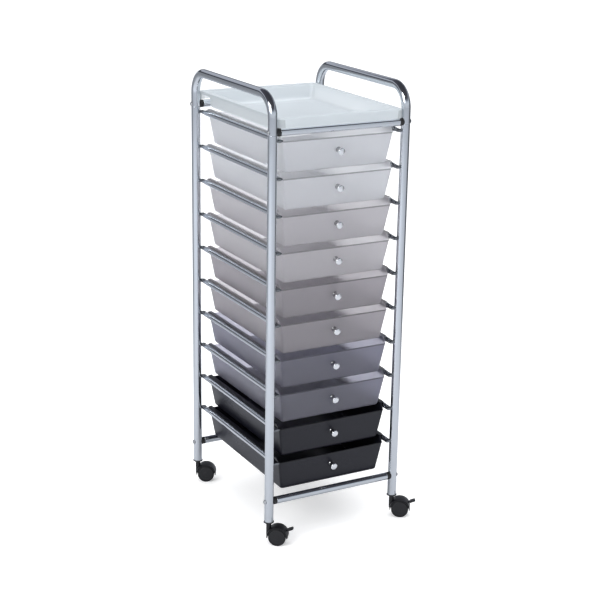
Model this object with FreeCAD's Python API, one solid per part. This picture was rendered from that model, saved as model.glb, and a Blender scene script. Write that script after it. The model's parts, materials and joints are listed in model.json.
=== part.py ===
import FreeCAD, Part
import math
import os
from FreeCAD import Vector

# Rolling drawer cart: a chromed tube frame with a hoop handle on each side,
# ten drawers that hang by their side flanges on thin runner rungs, a lift-off
# top tray, and four swivel casters. Millimetres, +Z up, the front faces -Y.
# Everything is laid out about the middle of the four posts with the floor at
# zero, and the whole is moved at the end so that its box stands on the origin.

# Overall layout
post_spacing_x = 302.0
post_spacing_y = 356.0
drawer_count = 10
rung_pitch = 75.2
foot_to_low_bar = 45.2
low_bar_to_rung = 82.7
rung_to_top_bar = 17.5
top_bar_to_grip = 69.9

# Posts and hoop handles
post_d = 19.0
post_wall = 1.0
grip_bend_r = 45.0
grip_lap = 5.1
spigot_rise = 26.0
spigot_clearance = 0.1

# Crossbars, their end plugs and bolts
bar_d = 16.0
bar_wall = 1.0
plug_collar_length = 6.5
plug_collar_d = 16.2
plug_depth = 18.0
plug_clearance = 0.05
bolt_d = 5.0
bolt_clearance = 0.05
bolt_head_d = 10.0
bolt_head_rise = 3.2

# Rungs: straight tube whose pinched ends are welded to the posts
rung_d = 12.7
rung_wall = 0.9
pinch_height = 6.4
pinch_width = 14.8
pinch_shift = 1.2
pinch_length = 16.0
pinch_slit = 0.8
rung_tail = 4.0

# Drawers
drawer_draft_deg = 8.5
drawer_wall = 2.0
drawer_floor = 2.2
drawer_side_gap = 1.4
drawer_drop = 68.15
drawer_front_inset = 2.0
drawer_rear_inset = 5.0
drawer_corner_r = 5.0
drawer_edge_r = 5.0
flange_thickness = 1.6
flange_past_axis = 1.35
flange_corner_r = 6.0
seat_gap = 0.3
wall_dip = 10.9
dip_shelf = 4.0
dip_run = 12.0

# Knobs and their screws
knob_drop = 37.0
knob_base_d = 11.6
knob_neck_d = 9.6
knob_head_d = 15.0
knob_base_rise = 2.0
knob_neck_rise = 7.6
knob_head_start = 11.5
knob_edge = 1.2
knob_crown_rise = 2.4
knob_reach = 17.5
screw_d = 4.0
screw_clearance = 0.05
screw_hole_slack = 0.25
screw_grip = 8.0
screw_head_d = 8.0
screw_head_rise = 2.4

# Top tray
tray_rim_rise = 19.1
tray_lip_drop = 6.5
tray_post_gap = 0.3
tray_front_reach = 8.0
tray_corner_r = 12.0
tray_wall = 2.0
tray_side_ledge = 12.0
tray_bar_gap = 1.0
tray_depth = 35.0
tray_floor_inset = 3.0
tray_well_corner_r = 14.0
tray_well_edge_r = 8.0
tray_rib_count = 5
tray_rib_thickness = 2.0
tray_rib_margin = 24.0

# Casters
wheel_d = 37.6
wheel_width = 9.4
wheel_edge_r = 1.6
wheel_cap = 1.6
wheel_side_gap = 0.4
hood_gap = 1.4
hood_wall = 2.1
hood_web = 8.0
hood_skirt = 1.0
hood_hub_d = 13.0
caster_trail = 19.0
neck_d = 10.8
neck_rise = 27.8
axle_d = 5.0
axle_clearance = 0.05
axle_end_gap = 0.3
stem_d = 8.0
stem_clearance = 0.05
stem_collar_d = 10.4
stem_collar_rise = 1.6
stem_depth = 13.0
stem_rise = 26.0
socket_flange_d = 21.6
socket_flange_rise = 1.8
socket_rise = 30.0
socket_clearance = 0.05

# Brake levers on the front casters
lever_angle_deg = 40.4
lever_tilt_deg = 22.0
lever_pivot_inset = 4.6
lever_pin_d = 3.0
lever_pin_clearance = 0.05
lever_pin_end_gap = 0.2
lever_hub_d = 6.0
lever_arm_width = 4.0
lever_arm_thickness = 3.0
lever_slot_clearance = 0.3
lever_swing_deg = 18.0
lever_root = 8.0
lever_length = 21.0
lever_width = 12.5
lever_thickness = 2.8
lever_corner_r = 3.0

# Which way each caster trails, in degrees from +X
swivel_deg = {"left_front": -36.0, "right_front": -33.5, "left_rear": -29.0, "right_rear": -31.0}
braked_corners = ["left_front", "right_front"]

# One overrun serves every cut
overrun = 5.0

# Worked out from the values above
post_r = post_d / 2
bar_r = bar_d / 2
rung_r = rung_d / 2
wheel_r = wheel_d / 2
half_x = post_spacing_x / 2
half_y = post_spacing_y / 2
axle_z = wheel_r
neck_top_z = axle_z + neck_rise
foot_z = neck_top_z + stem_collar_rise + socket_flange_rise
low_bar_z = foot_z + foot_to_low_bar
low_rung_z = low_bar_z + low_bar_to_rung
top_rung_z = low_rung_z + rung_pitch * (drawer_count - 1)
top_bar_z = top_rung_z + rung_to_top_bar
grip_z = top_bar_z + top_bar_to_grip
grip_foot_z = top_bar_z - grip_lap
rung_x = half_x - post_r - rung_r
draft = math.tan(math.radians(drawer_draft_deg))
corners = {
    "left_front": (-1, -1),
    "right_front": (1, -1),
    "left_rear": (-1, 1),
    "right_rear": (1, 1),
}

X_AXIS = Vector(1, 0, 0)
Y_AXIS = Vector(0, 1, 0)
Z_AXIS = Vector(0, 0, 1)


def rod(radius, length, start, axis):
    """A solid cylinder from a start point along an axis."""
    return Part.makeCylinder(radius, length, start, axis)


def tube(outer_r, wall, length, start, axis):
    """A straight tube open at both ends."""
    bore_start = start - axis * overrun
    bore = rod(outer_r - wall, length + overrun * 2, bore_start, axis)
    return rod(outer_r, length, start, axis).cut(bore)


def block(x0, x1, y0, y1, z0, z1):
    """A box between two corners."""
    return Part.makeBox(x1 - x0, y1 - y0, z1 - z0, Vector(x0, y0, z0))


def rounded_wire(x0, x1, y0, y1, radius, z):
    """A rectangle with round corners, level at height z."""
    spots = [
        (x1 - radius, y0 + radius, -90),
        (x1 - radius, y1 - radius, 0),
        (x0 + radius, y1 - radius, 90),
        (x0 + radius, y0 + radius, 180),
    ]
    arcs = []
    for x, y, first in spots:
        points = []
        for turn in (0, 45, 90):
            angle = math.radians(first + turn)
            points.append(Vector(x + radius * math.cos(angle), y + radius * math.sin(angle), z))
        arcs.append(points)
    edges = []
    for index, points in enumerate(arcs):
        edges.append(Part.Arc(*points).toShape())
        following = arcs[(index + 1) % len(arcs)]
        edges.append(Part.LineSegment(points[2], following[0]).toShape())
    return Part.Wire(edges)


def rounded_prism(x0, x1, y0, y1, radius, z0, z1):
    """An upright block with round corners."""
    face = Part.Face(rounded_wire(x0, x1, y0, y1, radius, z0))
    return face.extrude(Vector(0, 0, z1 - z0))


def side_profile(points, x0, x1):
    """A prism along X with the outline given as (y, z) points."""
    ring = [Vector(x0, y, z) for y, z in points]
    return Part.Face(Part.makePolygon(ring + ring[:1])).extrude(Vector(x1 - x0, 0, 0))


def lowest_edges(shape):
    """The edges that lie wholly in the shape's lowest level plane."""
    floor = shape.BoundBox.ZMin
    near = overrun / 1000
    return [edge for edge in shape.Edges if edge.BoundBox.ZMax - floor < near]


def turned_profile(points, centre_y=0.0):
    """A solid turned about the Y axis from (radius, y) points."""
    ring = [Vector(radius, y + centre_y, 0) for radius, y in points]
    face = Part.Face(Part.makePolygon(ring + ring[:1]))
    return face.revolve(Vector(0, 0, 0), Y_AXIS, 360)


# Frame


def bolt_hole(side, sign_y, height):
    """The clearance hole for one crossbar bolt, along X through a post."""
    radius = bolt_d / 2 + bolt_clearance
    start = Vector(side * (half_x - post_r - overrun), sign_y * half_y, height)
    return rod(radius, post_d + overrun * 2, start, X_AXIS * side)


def make_post(side, sign_y):
    """One corner post: a tube from the foot to the handle joint, then a spigot."""
    foot = Vector(side * half_x, sign_y * half_y, foot_z)
    post = tube(post_r, post_wall, grip_foot_z - foot_z, foot, Z_AXIS)
    spigot_r = post_r - post_wall - spigot_clearance
    top = Vector(side * half_x, sign_y * half_y, grip_foot_z)
    low = top - Z_AXIS * post_wall
    spigot = tube(spigot_r, post_wall, spigot_rise + post_wall, low, Z_AXIS)
    shoulder = rod(post_r - post_wall, post_wall, low, Z_AXIS)
    shoulder = shoulder.cut(rod(spigot_r - post_wall, post_wall, low, Z_AXIS))
    post = post.fuse([shoulder, spigot]).removeSplitter()
    for height in (low_bar_z, top_bar_z):
        post = post.cut(bolt_hole(side, sign_y, height))
    return post


def hoop(side, radius, lap):
    """The solid form of a handle: two legs, two bends and a level grip."""
    x = side * half_x
    bend_z = grip_z - grip_bend_r
    reach = half_y - grip_bend_r
    pieces = [rod(radius, reach * 2, Vector(x, -reach, grip_z), Y_AXIS)]
    for sign_y in (-1, 1):
        foot = Vector(x, sign_y * half_y, grip_foot_z - lap)
        leg_top = Vector(x, sign_y * half_y, bend_z)
        pieces.append(rod(radius, bend_z - grip_foot_z + lap, foot, Z_AXIS))
        disc = Part.Face(Part.Wire([Part.Circle(leg_top, Z_AXIS, radius).toShape()]))
        pieces.append(disc.revolve(Vector(x, sign_y * reach, bend_z), X_AXIS, sign_y * 90))
    return pieces[0].fuse(pieces[1:])


def make_handle(side):
    """A hoop handle of one bent tube, its legs holed for the top bolts."""
    handle = hoop(side, post_r, 0.0).cut(hoop(side, post_r - post_wall, overrun))
    for sign_y in (-1, 1):
        handle = handle.cut(bolt_hole(side, sign_y, top_bar_z))
    return handle.removeSplitter()


def make_crossbars(height):
    """The front and rear crossbars at one height."""
    length = post_spacing_x - post_d - plug_collar_length * 2
    bars = []
    for sign_y in (-1, 1):
        start = Vector(-length / 2, sign_y * half_y, height)
        bars.append(tube(bar_r, bar_wall, length, start, X_AXIS))
    return Part.makeCompound(bars)


def make_plug(side, sign_y, height):
    """An end plug: a collar seated on the post and a shank inside the crossbar."""
    bar_end = half_x - post_r - plug_collar_length
    start = Vector(side * bar_end, sign_y * half_y, height)
    outward = X_AXIS * side
    collar = rod(plug_collar_d / 2, plug_collar_length + post_r, start, outward)
    shank = rod(bar_r - bar_wall - plug_clearance, plug_depth, start, outward * -1)
    plug = collar.fuse(shank).removeSplitter()
    post = rod(post_r, plug_collar_d + overrun * 2,
               Vector(side * half_x, sign_y * half_y, height - plug_collar_d / 2 - overrun), Z_AXIS)
    bore = rod(bolt_d / 2 + bolt_clearance, plug_depth + plug_collar_length + post_r + overrun,
               start - outward * (plug_depth + overrun), outward)
    plug = plug.cut(post).cut(bore)
    return plug.Solids[0]


def make_plugs():
    """All eight crossbar end plugs."""
    plugs = []
    for height in (low_bar_z, top_bar_z):
        for side, sign_y in corners.values():
            plugs.append(make_plug(side, sign_y, height))
    return Part.makeCompound(plugs)


def make_bolt(side, sign_y, height):
    """One crossbar bolt, its low dome outside the post and its tip in the plug."""
    seat = Vector(side * (half_x + post_r), sign_y * half_y, height)
    outward = X_AXIS * side
    shank_length = post_d + plug_collar_length + plug_depth
    shank = rod(bolt_d / 2, shank_length, seat - outward * shank_length, outward)
    head_r = bolt_head_d / 2
    dome_r = (head_r ** 2 + bolt_head_rise ** 2) / (bolt_head_rise * 2)
    seat_angle = math.degrees(math.asin((dome_r - bolt_head_rise) / dome_r))
    dome = Part.makeSphere(dome_r, seat + outward * (bolt_head_rise - dome_r), outward,
                           seat_angle, 90, 360)
    return shank.fuse(dome)


def make_bolts():
    """All eight crossbar bolts."""
    bolts = []
    for height in (low_bar_z, top_bar_z):
        for side, sign_y in corners.values():
            bolts.append(make_bolt(side, sign_y, height))
    return Part.makeCompound(bolts)


def oval_wire(half_width, half_height, shift, y, height):
    """An upright oval in the plane of constant y, as one closed edge."""
    centre = Vector(rung_x + shift, y, height)
    wide = max(half_width, half_height)
    side_point = centre + X_AXIS * wide
    top_point = centre + Z_AXIS * half_height
    return Part.Wire([Part.Ellipse(side_point, top_point, centre).toShape()])


def rung_form(shrink, height, tail):
    """The rung's outer or inner form: round in the middle, flat at both ends."""
    straight = half_y - post_r - pinch_length
    pinched = half_y - post_r
    round_r = rung_r - shrink
    flat_half_height = pinch_height / 2
    flat_half_width = pinch_width / 2 - shrink
    if shrink > 0:
        flat_half_height = pinch_slit / 2
    pieces = [rod(round_r, straight * 2, Vector(rung_x, -straight, height), Y_AXIS)]
    for sign_y in (-1, 1):
        sections = [
            oval_wire(round_r, round_r, 0.0, sign_y * straight, height),
            oval_wire(flat_half_width, flat_half_height, pinch_shift, sign_y * pinched, height),
        ]
        pieces.append(Part.makeLoft(sections, True, True))
        if tail > 0:
            pieces.append(Part.Face(sections[1]).extrude(Y_AXIS * sign_y * (post_r + tail)))
    return pieces[0].fuse(pieces[1:])


def make_rung(height):
    """One right-hand rung, hollow, with its flat ends coped to the posts."""
    rung = rung_form(0.0, height, rung_tail).cut(rung_form(rung_wall, height, 0.0))
    for sign_y in (-1, 1):
        post = rod(post_r, pinch_height + overrun * 2,
                   Vector(half_x, sign_y * half_y, height - pinch_height / 2 - overrun), Z_AXIS)
        rung = rung.cut(post)
    return rung


def make_rungs(side):
    """The ten rungs of one side. The left set is the right set turned half round."""
    first = make_rung(low_rung_z)
    if side < 0:
        first = first.copy()
        first.rotate(Vector(0, 0, 0), Z_AXIS, 180)
    rungs = []
    for index in range(drawer_count):
        rung = first.copy()
        rung.translate(Z_AXIS * rung_pitch * index)
        rungs.append(rung)
    return Part.makeCompound(rungs)


# Drawers. They are all modelled on the lowest rung's height and lifted.


def drawer_levels(rung_z):
    """Heights of the flange's underside, its top, the dipped walls and the bottom."""
    under = rung_z + rung_r + seat_gap
    top = under + flange_thickness
    return under, top, top - wall_dip, rung_z - drawer_drop


def drawer_limits():
    """Outer half width and the front and rear faces at the flange's top."""
    half_width = rung_x - rung_r - drawer_side_gap
    return half_width, -half_y + drawer_front_inset, half_y - drawer_rear_inset


def tapered_block(inset, top, bottom, bottom_level, corner_r, edge_r):
    """A block that narrows downwards with the drawer's draft, round along its foot."""
    half_width, front, rear = drawer_limits()
    wires = []
    for level in (top + overrun, bottom_level):
        shrink = inset + (top - level) * draft
        wires.append(rounded_wire(-half_width + shrink, half_width - shrink,
                                  front + shrink, rear - shrink, corner_r, level))
    form = Part.makeLoft(wires, True, True)
    return form.makeFillet(edge_r, lowest_edges(form))


def knob_seat(rung_z):
    """The point on a drawer's front face where its knob sits."""
    top = drawer_levels(rung_z)[1]
    front = drawer_limits()[1]
    return Vector(0, front + knob_drop * draft, top - knob_drop)


def lean(shape, seat):
    """Turns a piece made along -Y square to the sloping front, at its seat."""
    shape.rotate(Vector(0, 0, 0), X_AXIS, drawer_draft_deg)
    shape.translate(seat)
    return shape


def make_drawer(rung_z):
    """One drawer: a tapered tub with side flanges and lower front and rear walls."""
    under, top, dipped, bottom = drawer_levels(rung_z)
    half_width, front, rear = drawer_limits()
    shell = tapered_block(0.0, top, bottom, bottom, drawer_corner_r, drawer_edge_r)
    shell = shell.cut(block(-post_spacing_x, post_spacing_x, -post_spacing_y, post_spacing_y,
                            top, top + overrun * 2))
    flange_edge = rung_x + flange_past_axis
    flange_front = front + dip_shelf + dip_run
    flange_rear = rear - dip_shelf - dip_run
    plate = rounded_prism(-flange_edge, flange_edge, flange_front, flange_rear,
                          flange_corner_r, under, top)
    hollow = tapered_block(drawer_wall, top, bottom, bottom + drawer_floor,
                           drawer_corner_r - drawer_wall, drawer_edge_r - drawer_wall)
    drawer = shell.fuse(plate).cut(hollow)
    for face, inward in ((front, 1), (rear, -1)):
        shelf = face + inward * dip_shelf
        ramp = shelf + inward * dip_run
        past = face - inward * overrun
        notch = side_profile([(past, dipped), (shelf, dipped), (ramp, top),
                              (ramp, top + overrun), (past, top + overrun)],
                             -post_spacing_x, post_spacing_x)
        drawer = drawer.cut(notch)
    hole_r = screw_d / 2 + screw_hole_slack
    hole = rod(hole_r, drawer_wall * 2 + overrun * 2, Vector(0, -overrun, 0), Y_AXIS)
    return drawer.cut(lean(hole, knob_seat(rung_z)))


def make_knob(rung_z):
    """A round knob: a flared foot, a neck and a wide head with a low crown."""
    base_r = knob_base_d / 2
    neck_r = knob_neck_d / 2
    head_r = knob_head_d / 2
    crown_r = head_r - knob_edge
    crown = knob_reach - knob_crown_rise
    ball_r = (crown_r ** 2 + knob_crown_rise ** 2) / (knob_crown_rise * 2)
    half_turn = math.asin(crown_r / ball_r) / 2

    def at(radius, reach):
        return Vector(radius, -reach, 0)

    outline = [
        at(0, 0), at(base_r, 0), at(base_r, knob_base_rise / 2), at(neck_r, knob_base_rise),
        at(neck_r, knob_neck_rise), at(head_r, knob_head_start), at(head_r, crown - knob_edge),
        at(crown_r, crown),
    ]
    edges = [Part.LineSegment(one, two).toShape() for one, two in zip(outline, outline[1:])]
    middle = at(ball_r * math.sin(half_turn), knob_reach - ball_r + ball_r * math.cos(half_turn))
    edges.append(Part.Arc(outline[-1], middle, at(0, knob_reach)).toShape())
    edges.append(Part.LineSegment(at(0, knob_reach), at(0, 0)).toShape())
    knob = Part.Face(Part.Wire(edges)).revolve(Vector(0, 0, 0), Y_AXIS, 360)
    bore = rod(screw_d / 2 + screw_clearance, screw_grip + seat_gap + overrun,
               Vector(0, overrun, 0), Y_AXIS * -1)
    return lean(knob.cut(bore), knob_seat(rung_z))


def make_knob_screw(rung_z):
    """The screw that holds a knob, its head on the drawer's inner face."""
    wall = drawer_wall * math.cos(math.radians(drawer_draft_deg))
    shank = rod(screw_d / 2, screw_grip + wall, Vector(0, wall, 0), Y_AXIS * -1)
    head = rod(screw_head_d / 2, screw_head_rise, Vector(0, wall, 0), Y_AXIS)
    rim = [edge for edge in head.Edges if edge.BoundBox.YMin > wall + screw_head_rise / 2]
    head = head.makeFillet(screw_head_rise / 2, rim)
    return lean(shank.fuse(head), knob_seat(rung_z))


# Top tray


def make_tray():
    """The tray: a shallow well hung from a rim that rests on the top crossbars."""
    rim_top = top_bar_z + bar_r + seat_gap + tray_rim_rise
    apron_foot = top_bar_z + bar_r + seat_gap
    edge_x = half_x - post_r - tray_post_gap
    edge_y = half_y + tray_front_reach
    well_x = edge_x - tray_side_ledge
    well_y = half_y - bar_r - tray_bar_gap
    well_bottom = rim_top - tray_depth

    def ring(inset, low, high):
        return rounded_prism(-edge_x + inset, edge_x - inset, -edge_y + inset, edge_y - inset,
                             tray_corner_r - inset, low, high)

    rim = ring(0.0, rim_top - tray_lip_drop, rim_top)
    rim = rim.cut(ring(tray_wall, rim_top - tray_lip_drop - overrun, rim_top - tray_wall))
    skirt = ring(0.0, apron_foot, rim_top).cut(ring(tray_wall, apron_foot - overrun, rim_top))
    middle = edge_y - tray_corner_r
    skirt = skirt.cut(block(-post_spacing_x, post_spacing_x, -middle, middle,
                            apron_foot - overrun, rim_top - tray_lip_drop))

    def well(inset, floor_level, corner_r, edge_r):
        wires = []
        for level, step in ((rim_top, 0.0), (floor_level, tray_floor_inset)):
            wires.append(rounded_wire(-well_x + inset + step, well_x - inset - step,
                                      -well_y + inset + step, well_y - inset - step,
                                      corner_r, level))
        form = Part.makeLoft(wires, True, True)
        return form.makeFillet(edge_r, lowest_edges(form))

    outer = well(0.0, well_bottom, tray_well_corner_r, tray_well_edge_r)
    inner = well(tray_wall, well_bottom + tray_wall, tray_well_corner_r - tray_wall,
                 tray_well_edge_r - tray_wall)
    reach = edge_x - tray_rib_margin
    ribs = []
    for index in range(tray_rib_count):
        x = -reach + reach * 2 * index / (tray_rib_count - 1)
        for sign_y in (-1, 1):
            y0, y1 = sorted((sign_y * (well_y - tray_floor_inset), sign_y * (edge_y - tray_wall / 2)))
            ribs.append(block(x - tray_rib_thickness / 2, x + tray_rib_thickness / 2, y0, y1,
                              apron_foot, rim_top - tray_wall / 2))
    return rim.fuse([skirt, outer] + ribs).cut(inner).removeSplitter()


# Casters. They are modelled with the stem on the Z axis and the wheels trailing
# along +X, then turned to their own angle and moved under their post.


def place_caster(shape, corner):
    """Turns a caster piece to its swivel angle and moves it under its post."""
    side, sign_y = corners[corner]
    shape.rotate(Vector(0, 0, 0), Z_AXIS, swivel_deg[corner])
    shape.translate(Vector(side * half_x, sign_y * half_y, 0))
    return shape


def lever_pivot():
    """The brake lever's pivot, in the caster's own upright plane."""
    hood_r = wheel_r + hood_gap + hood_wall
    reach = hood_r - lever_pivot_inset
    angle = math.radians(lever_angle_deg)
    return Vector(caster_trail + reach * math.cos(angle), 0, axle_z + reach * math.sin(angle))


def make_hood(corner):
    """The caster's hood: an arch over both wheels, a middle web and a stem neck."""
    hood_r = wheel_r + hood_gap + hood_wall
    width = hood_web + (wheel_side_gap + wheel_width) * 2
    skirt_z = axle_z - hood_skirt
    hub = Vector(caster_trail, 0, axle_z)
    arch = rod(hood_r, width, hub - Y_AXIS * (width / 2), Y_AXIS)
    arch = arch.cut(block(-post_spacing_x, post_spacing_x, -width, width,
                          -overrun, skirt_z))
    boss = rod(hood_hub_d / 2, hood_web, hub - Y_AXIS * (hood_web / 2), Y_AXIS)
    neck = rod(neck_d / 2, neck_top_z - skirt_z, Vector(0, 0, skirt_z), Z_AXIS)
    hood = arch.fuse([boss, neck])
    for sign in (-1, 1):
        well = rod(wheel_r + hood_gap, wheel_width * 2 + overrun,
                   hub + Y_AXIS * sign * (hood_web / 2), Y_AXIS * sign)
        hood = hood.cut(well)
    hood = hood.cut(rod(axle_d / 2, hood_web + overrun * 2,
                        hub - Y_AXIS * (hood_web / 2 + overrun), Y_AXIS))
    stem_foot = neck_top_z - stem_depth - stem_clearance
    hood = hood.cut(rod(stem_d / 2 + stem_clearance, stem_depth + stem_clearance + overrun,
                        Vector(0, 0, stem_foot), Z_AXIS))
    if corner in braked_corners:
        hood = hood.cut(lever_slot())
    return place_caster(hood, corner)


def lever_slot():
    """The room in the web and hood for the brake lever's hub, arm, swing and pin."""
    pivot = lever_pivot()
    half = lever_arm_width / 2 + lever_slot_clearance
    hub_r = lever_hub_d / 2 + lever_slot_clearance
    slot = rod(hub_r, half * 2, pivot - Y_AXIS * half, Y_AXIS)
    rise = lever_arm_thickness / 2 + lever_slot_clearance
    reach = lever_root + overrun
    for angle in (lever_tilt_deg, lever_tilt_deg - lever_swing_deg / 2,
                  lever_tilt_deg - lever_swing_deg):
        arm = block(0.0, reach, -half, half, -rise, rise)
        arm.rotate(Vector(0, 0, 0), Y_AXIS, -angle)
        arm.translate(pivot)
        slot = slot.fuse(arm)
    pin_r = lever_pin_d / 2 + lever_pin_clearance
    pin = rod(pin_r, hood_web, pivot - Y_AXIS * (hood_web / 2), Y_AXIS)
    return slot.fuse(pin)


def make_lever(corner):
    """The brake lever: a pin, a hub, a narrow arm and a wide rounded pedal."""
    half = lever_arm_width / 2
    hub = rod(lever_hub_d / 2, lever_arm_width, Vector(0, -half, 0), Y_AXIS)
    pin_length = hood_web - lever_pin_end_gap * 2
    pin = rod(lever_pin_d / 2, pin_length, Vector(0, -pin_length / 2, 0), Y_AXIS)
    rise = lever_arm_thickness / 2
    arm = block(0.0, lever_root + lever_corner_r, -half, half, -rise, rise)
    thick = lever_thickness / 2
    pedal = rounded_prism(lever_root, lever_length, -lever_width / 2, lever_width / 2,
                          lever_corner_r, -thick, thick)
    lever = hub.fuse([pin, arm, pedal])
    lever.rotate(Vector(0, 0, 0), Y_AXIS, -lever_tilt_deg)
    lever.translate(lever_pivot())
    return place_caster(lever, corner)


def make_wheels(corner):
    """The two wheels of one caster, each with a closed outer face."""
    edge = wheel_edge_r
    bore_r = axle_d / 2 + axle_clearance
    wheels = []
    for sign in (-1, 1):
        near = sign * (hood_web / 2 + wheel_side_gap)
        far = near + sign * wheel_width
        wheel = turned_profile([
            (0, near), (wheel_r - edge, near), (wheel_r, near + sign * edge),
            (wheel_r, far - sign * edge), (wheel_r - edge, far), (0, far),
        ])
        bore = rod(bore_r, wheel_width - wheel_cap, Vector(0, near, 0), Y_AXIS * sign)
        wheel = wheel.cut(bore)
        wheel.translate(Vector(caster_trail, 0, axle_z))
        wheels.append(wheel)
    return place_caster(Part.makeCompound(wheels), corner)


def make_axle(corner):
    """The axle, fixed in the hood's web and free in both wheels."""
    reach = hood_web / 2 + wheel_side_gap + wheel_width - wheel_cap - axle_end_gap
    start = Vector(caster_trail, -reach, axle_z)
    return place_caster(rod(axle_d / 2, reach * 2, start, Y_AXIS), corner)


def make_sockets():
    """The four flanged sockets in the feet of the posts."""
    sockets = []
    for side, sign_y in corners.values():
        low = Vector(side * half_x, sign_y * half_y, foot_z - socket_flange_rise)
        flange = rod(socket_flange_d / 2, socket_flange_rise, low, Z_AXIS)
        sleeve = rod(post_r - post_wall - socket_clearance, socket_rise,
                     low + Z_AXIS * socket_flange_rise, Z_AXIS)
        bore = rod(stem_d / 2, socket_flange_rise + stem_rise, low, Z_AXIS)
        sockets.append(flange.fuse(sleeve).cut(bore))
    return Part.makeCompound(sockets)


def make_stems():
    """The four caster stems, each with a collar that carries its post."""
    stems = []
    for side, sign_y in corners.values():
        low = Vector(side * half_x, sign_y * half_y, neck_top_z - stem_depth)
        length = stem_depth + stem_collar_rise + socket_flange_rise + stem_rise
        stem = rod(stem_d / 2, length, low, Z_AXIS)
        collar = rod(stem_collar_d / 2, stem_collar_rise, low + Z_AXIS * stem_depth, Z_AXIS)
        stems.append(stem.fuse(collar))
    return Part.makeCompound(stems)


# Assembly


def make_nodes():
    """Every node's shape by name, laid out about the middle of the posts."""
    nodes = {}
    for corner, (side, sign_y) in corners.items():
        nodes[corner + "_post"] = make_post(side, sign_y)
    nodes["left_handle"] = make_handle(-1)
    nodes["right_handle"] = make_handle(1)
    nodes["left_rungs"] = make_rungs(-1)
    nodes["right_rungs"] = make_rungs(1)
    nodes["top_crossbars"] = make_crossbars(top_bar_z)
    nodes["bottom_crossbars"] = make_crossbars(low_bar_z)
    nodes["crossbar_plugs"] = make_plugs()
    nodes["crossbar_bolts"] = make_bolts()
    nodes["caster_sockets"] = make_sockets()
    nodes["caster_stems"] = make_stems()
    nodes["top_tray"] = make_tray()
    first = {
        "drawer": make_drawer(low_rung_z),
        "knob": make_knob(low_rung_z),
        "knob_screw": make_knob_screw(low_rung_z),
    }
    for number in range(1, drawer_count + 1):
        lift = Z_AXIS * rung_pitch * (drawer_count - number)
        for name, shape in first.items():
            copy = shape.copy()
            copy.translate(lift)
            nodes["%s_%d" % (name, number)] = copy
    for corner in corners:
        nodes[corner + "_caster_hood"] = make_hood(corner)
        nodes[corner + "_caster_wheels"] = make_wheels(corner)
        nodes[corner + "_caster_axle"] = make_axle(corner)
    for corner in braked_corners:
        nodes[corner + "_brake_lever"] = make_lever(corner)
    return nodes


def main():
    """Builds every node, centres the whole on the origin and writes the files."""
    os.makedirs("parts", exist_ok=True)
    nodes = make_nodes()
    box = Part.makeCompound(list(nodes.values())).optimalBoundingBox(True, False)
    shift = Vector(-box.Center.x, -box.Center.y, 0)
    for name, shape in nodes.items():
        shape.translate(shift)
        shape.exportStep("parts/%s.step" % name)
    print("nodes", len(nodes))
    print("box", round(box.XLength, 2), round(box.YLength, 2), round(box.ZLength, 2))
    print("posts' middle at", round(shift.x, 3), round(shift.y, 3))


main()
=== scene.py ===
"""Looks for a rolling drawer cart with a chromed tube frame.

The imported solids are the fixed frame. The tubes, drawers, knobs, tray and wheels
are dressed by finer surfaces, and every other node gets its own finish.
"""

import json
import logging
import math
from dataclasses import dataclass, field, replace
from enum import Enum
from typing import Any, Iterable, Sequence

import bpy
import numpy as np
from mathutils import Matrix, Vector

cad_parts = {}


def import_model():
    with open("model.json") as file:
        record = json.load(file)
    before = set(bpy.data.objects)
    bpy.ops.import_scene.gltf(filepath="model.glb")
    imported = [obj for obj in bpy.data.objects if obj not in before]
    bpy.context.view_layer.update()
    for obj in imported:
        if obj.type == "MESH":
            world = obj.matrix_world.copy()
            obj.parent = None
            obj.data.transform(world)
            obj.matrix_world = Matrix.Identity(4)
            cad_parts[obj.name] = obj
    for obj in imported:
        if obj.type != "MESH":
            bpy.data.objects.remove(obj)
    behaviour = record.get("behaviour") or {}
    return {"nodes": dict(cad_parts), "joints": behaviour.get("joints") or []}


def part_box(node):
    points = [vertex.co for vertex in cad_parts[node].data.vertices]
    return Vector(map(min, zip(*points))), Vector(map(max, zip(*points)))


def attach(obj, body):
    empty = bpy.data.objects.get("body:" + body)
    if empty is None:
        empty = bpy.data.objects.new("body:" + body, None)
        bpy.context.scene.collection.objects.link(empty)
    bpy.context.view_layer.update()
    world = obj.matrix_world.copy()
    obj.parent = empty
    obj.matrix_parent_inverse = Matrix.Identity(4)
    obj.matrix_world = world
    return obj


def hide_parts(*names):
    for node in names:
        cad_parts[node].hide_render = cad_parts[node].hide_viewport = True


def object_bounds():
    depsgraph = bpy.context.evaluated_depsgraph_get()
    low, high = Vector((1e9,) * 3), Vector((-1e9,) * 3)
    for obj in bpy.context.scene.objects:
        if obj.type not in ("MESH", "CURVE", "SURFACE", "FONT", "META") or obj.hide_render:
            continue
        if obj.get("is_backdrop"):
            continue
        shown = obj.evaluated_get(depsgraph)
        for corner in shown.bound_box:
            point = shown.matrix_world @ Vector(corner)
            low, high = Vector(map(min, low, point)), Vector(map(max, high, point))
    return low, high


Array = np.ndarray
Colour = tuple[float, float, float]
Stops = tuple[tuple[float, Colour], ...]
log = logging.getLogger("drawer_cart")

MM = 0.001
DRAWER_COUNT = 10
WHITE, BLACK = (1.0, 1.0, 1.0), (0.0, 0.0, 0.0)
X_WAY, Y_WAY, Z_WAY = (1.0, 0.0, 0.0), (0.0, 1.0, 0.0), (0.0, 0.0, 1.0)

# Points on a tube's broken edge, as shares of its lip: how far along the tube, and how deep
LIP_MARK_SHARES = np.array([0.0, 0.3, 1.0, 2.0])
LIP_DEPTH_SHARES = np.array([1.0, 0.3, 0.0, 0.0])


# Surfaces


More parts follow.
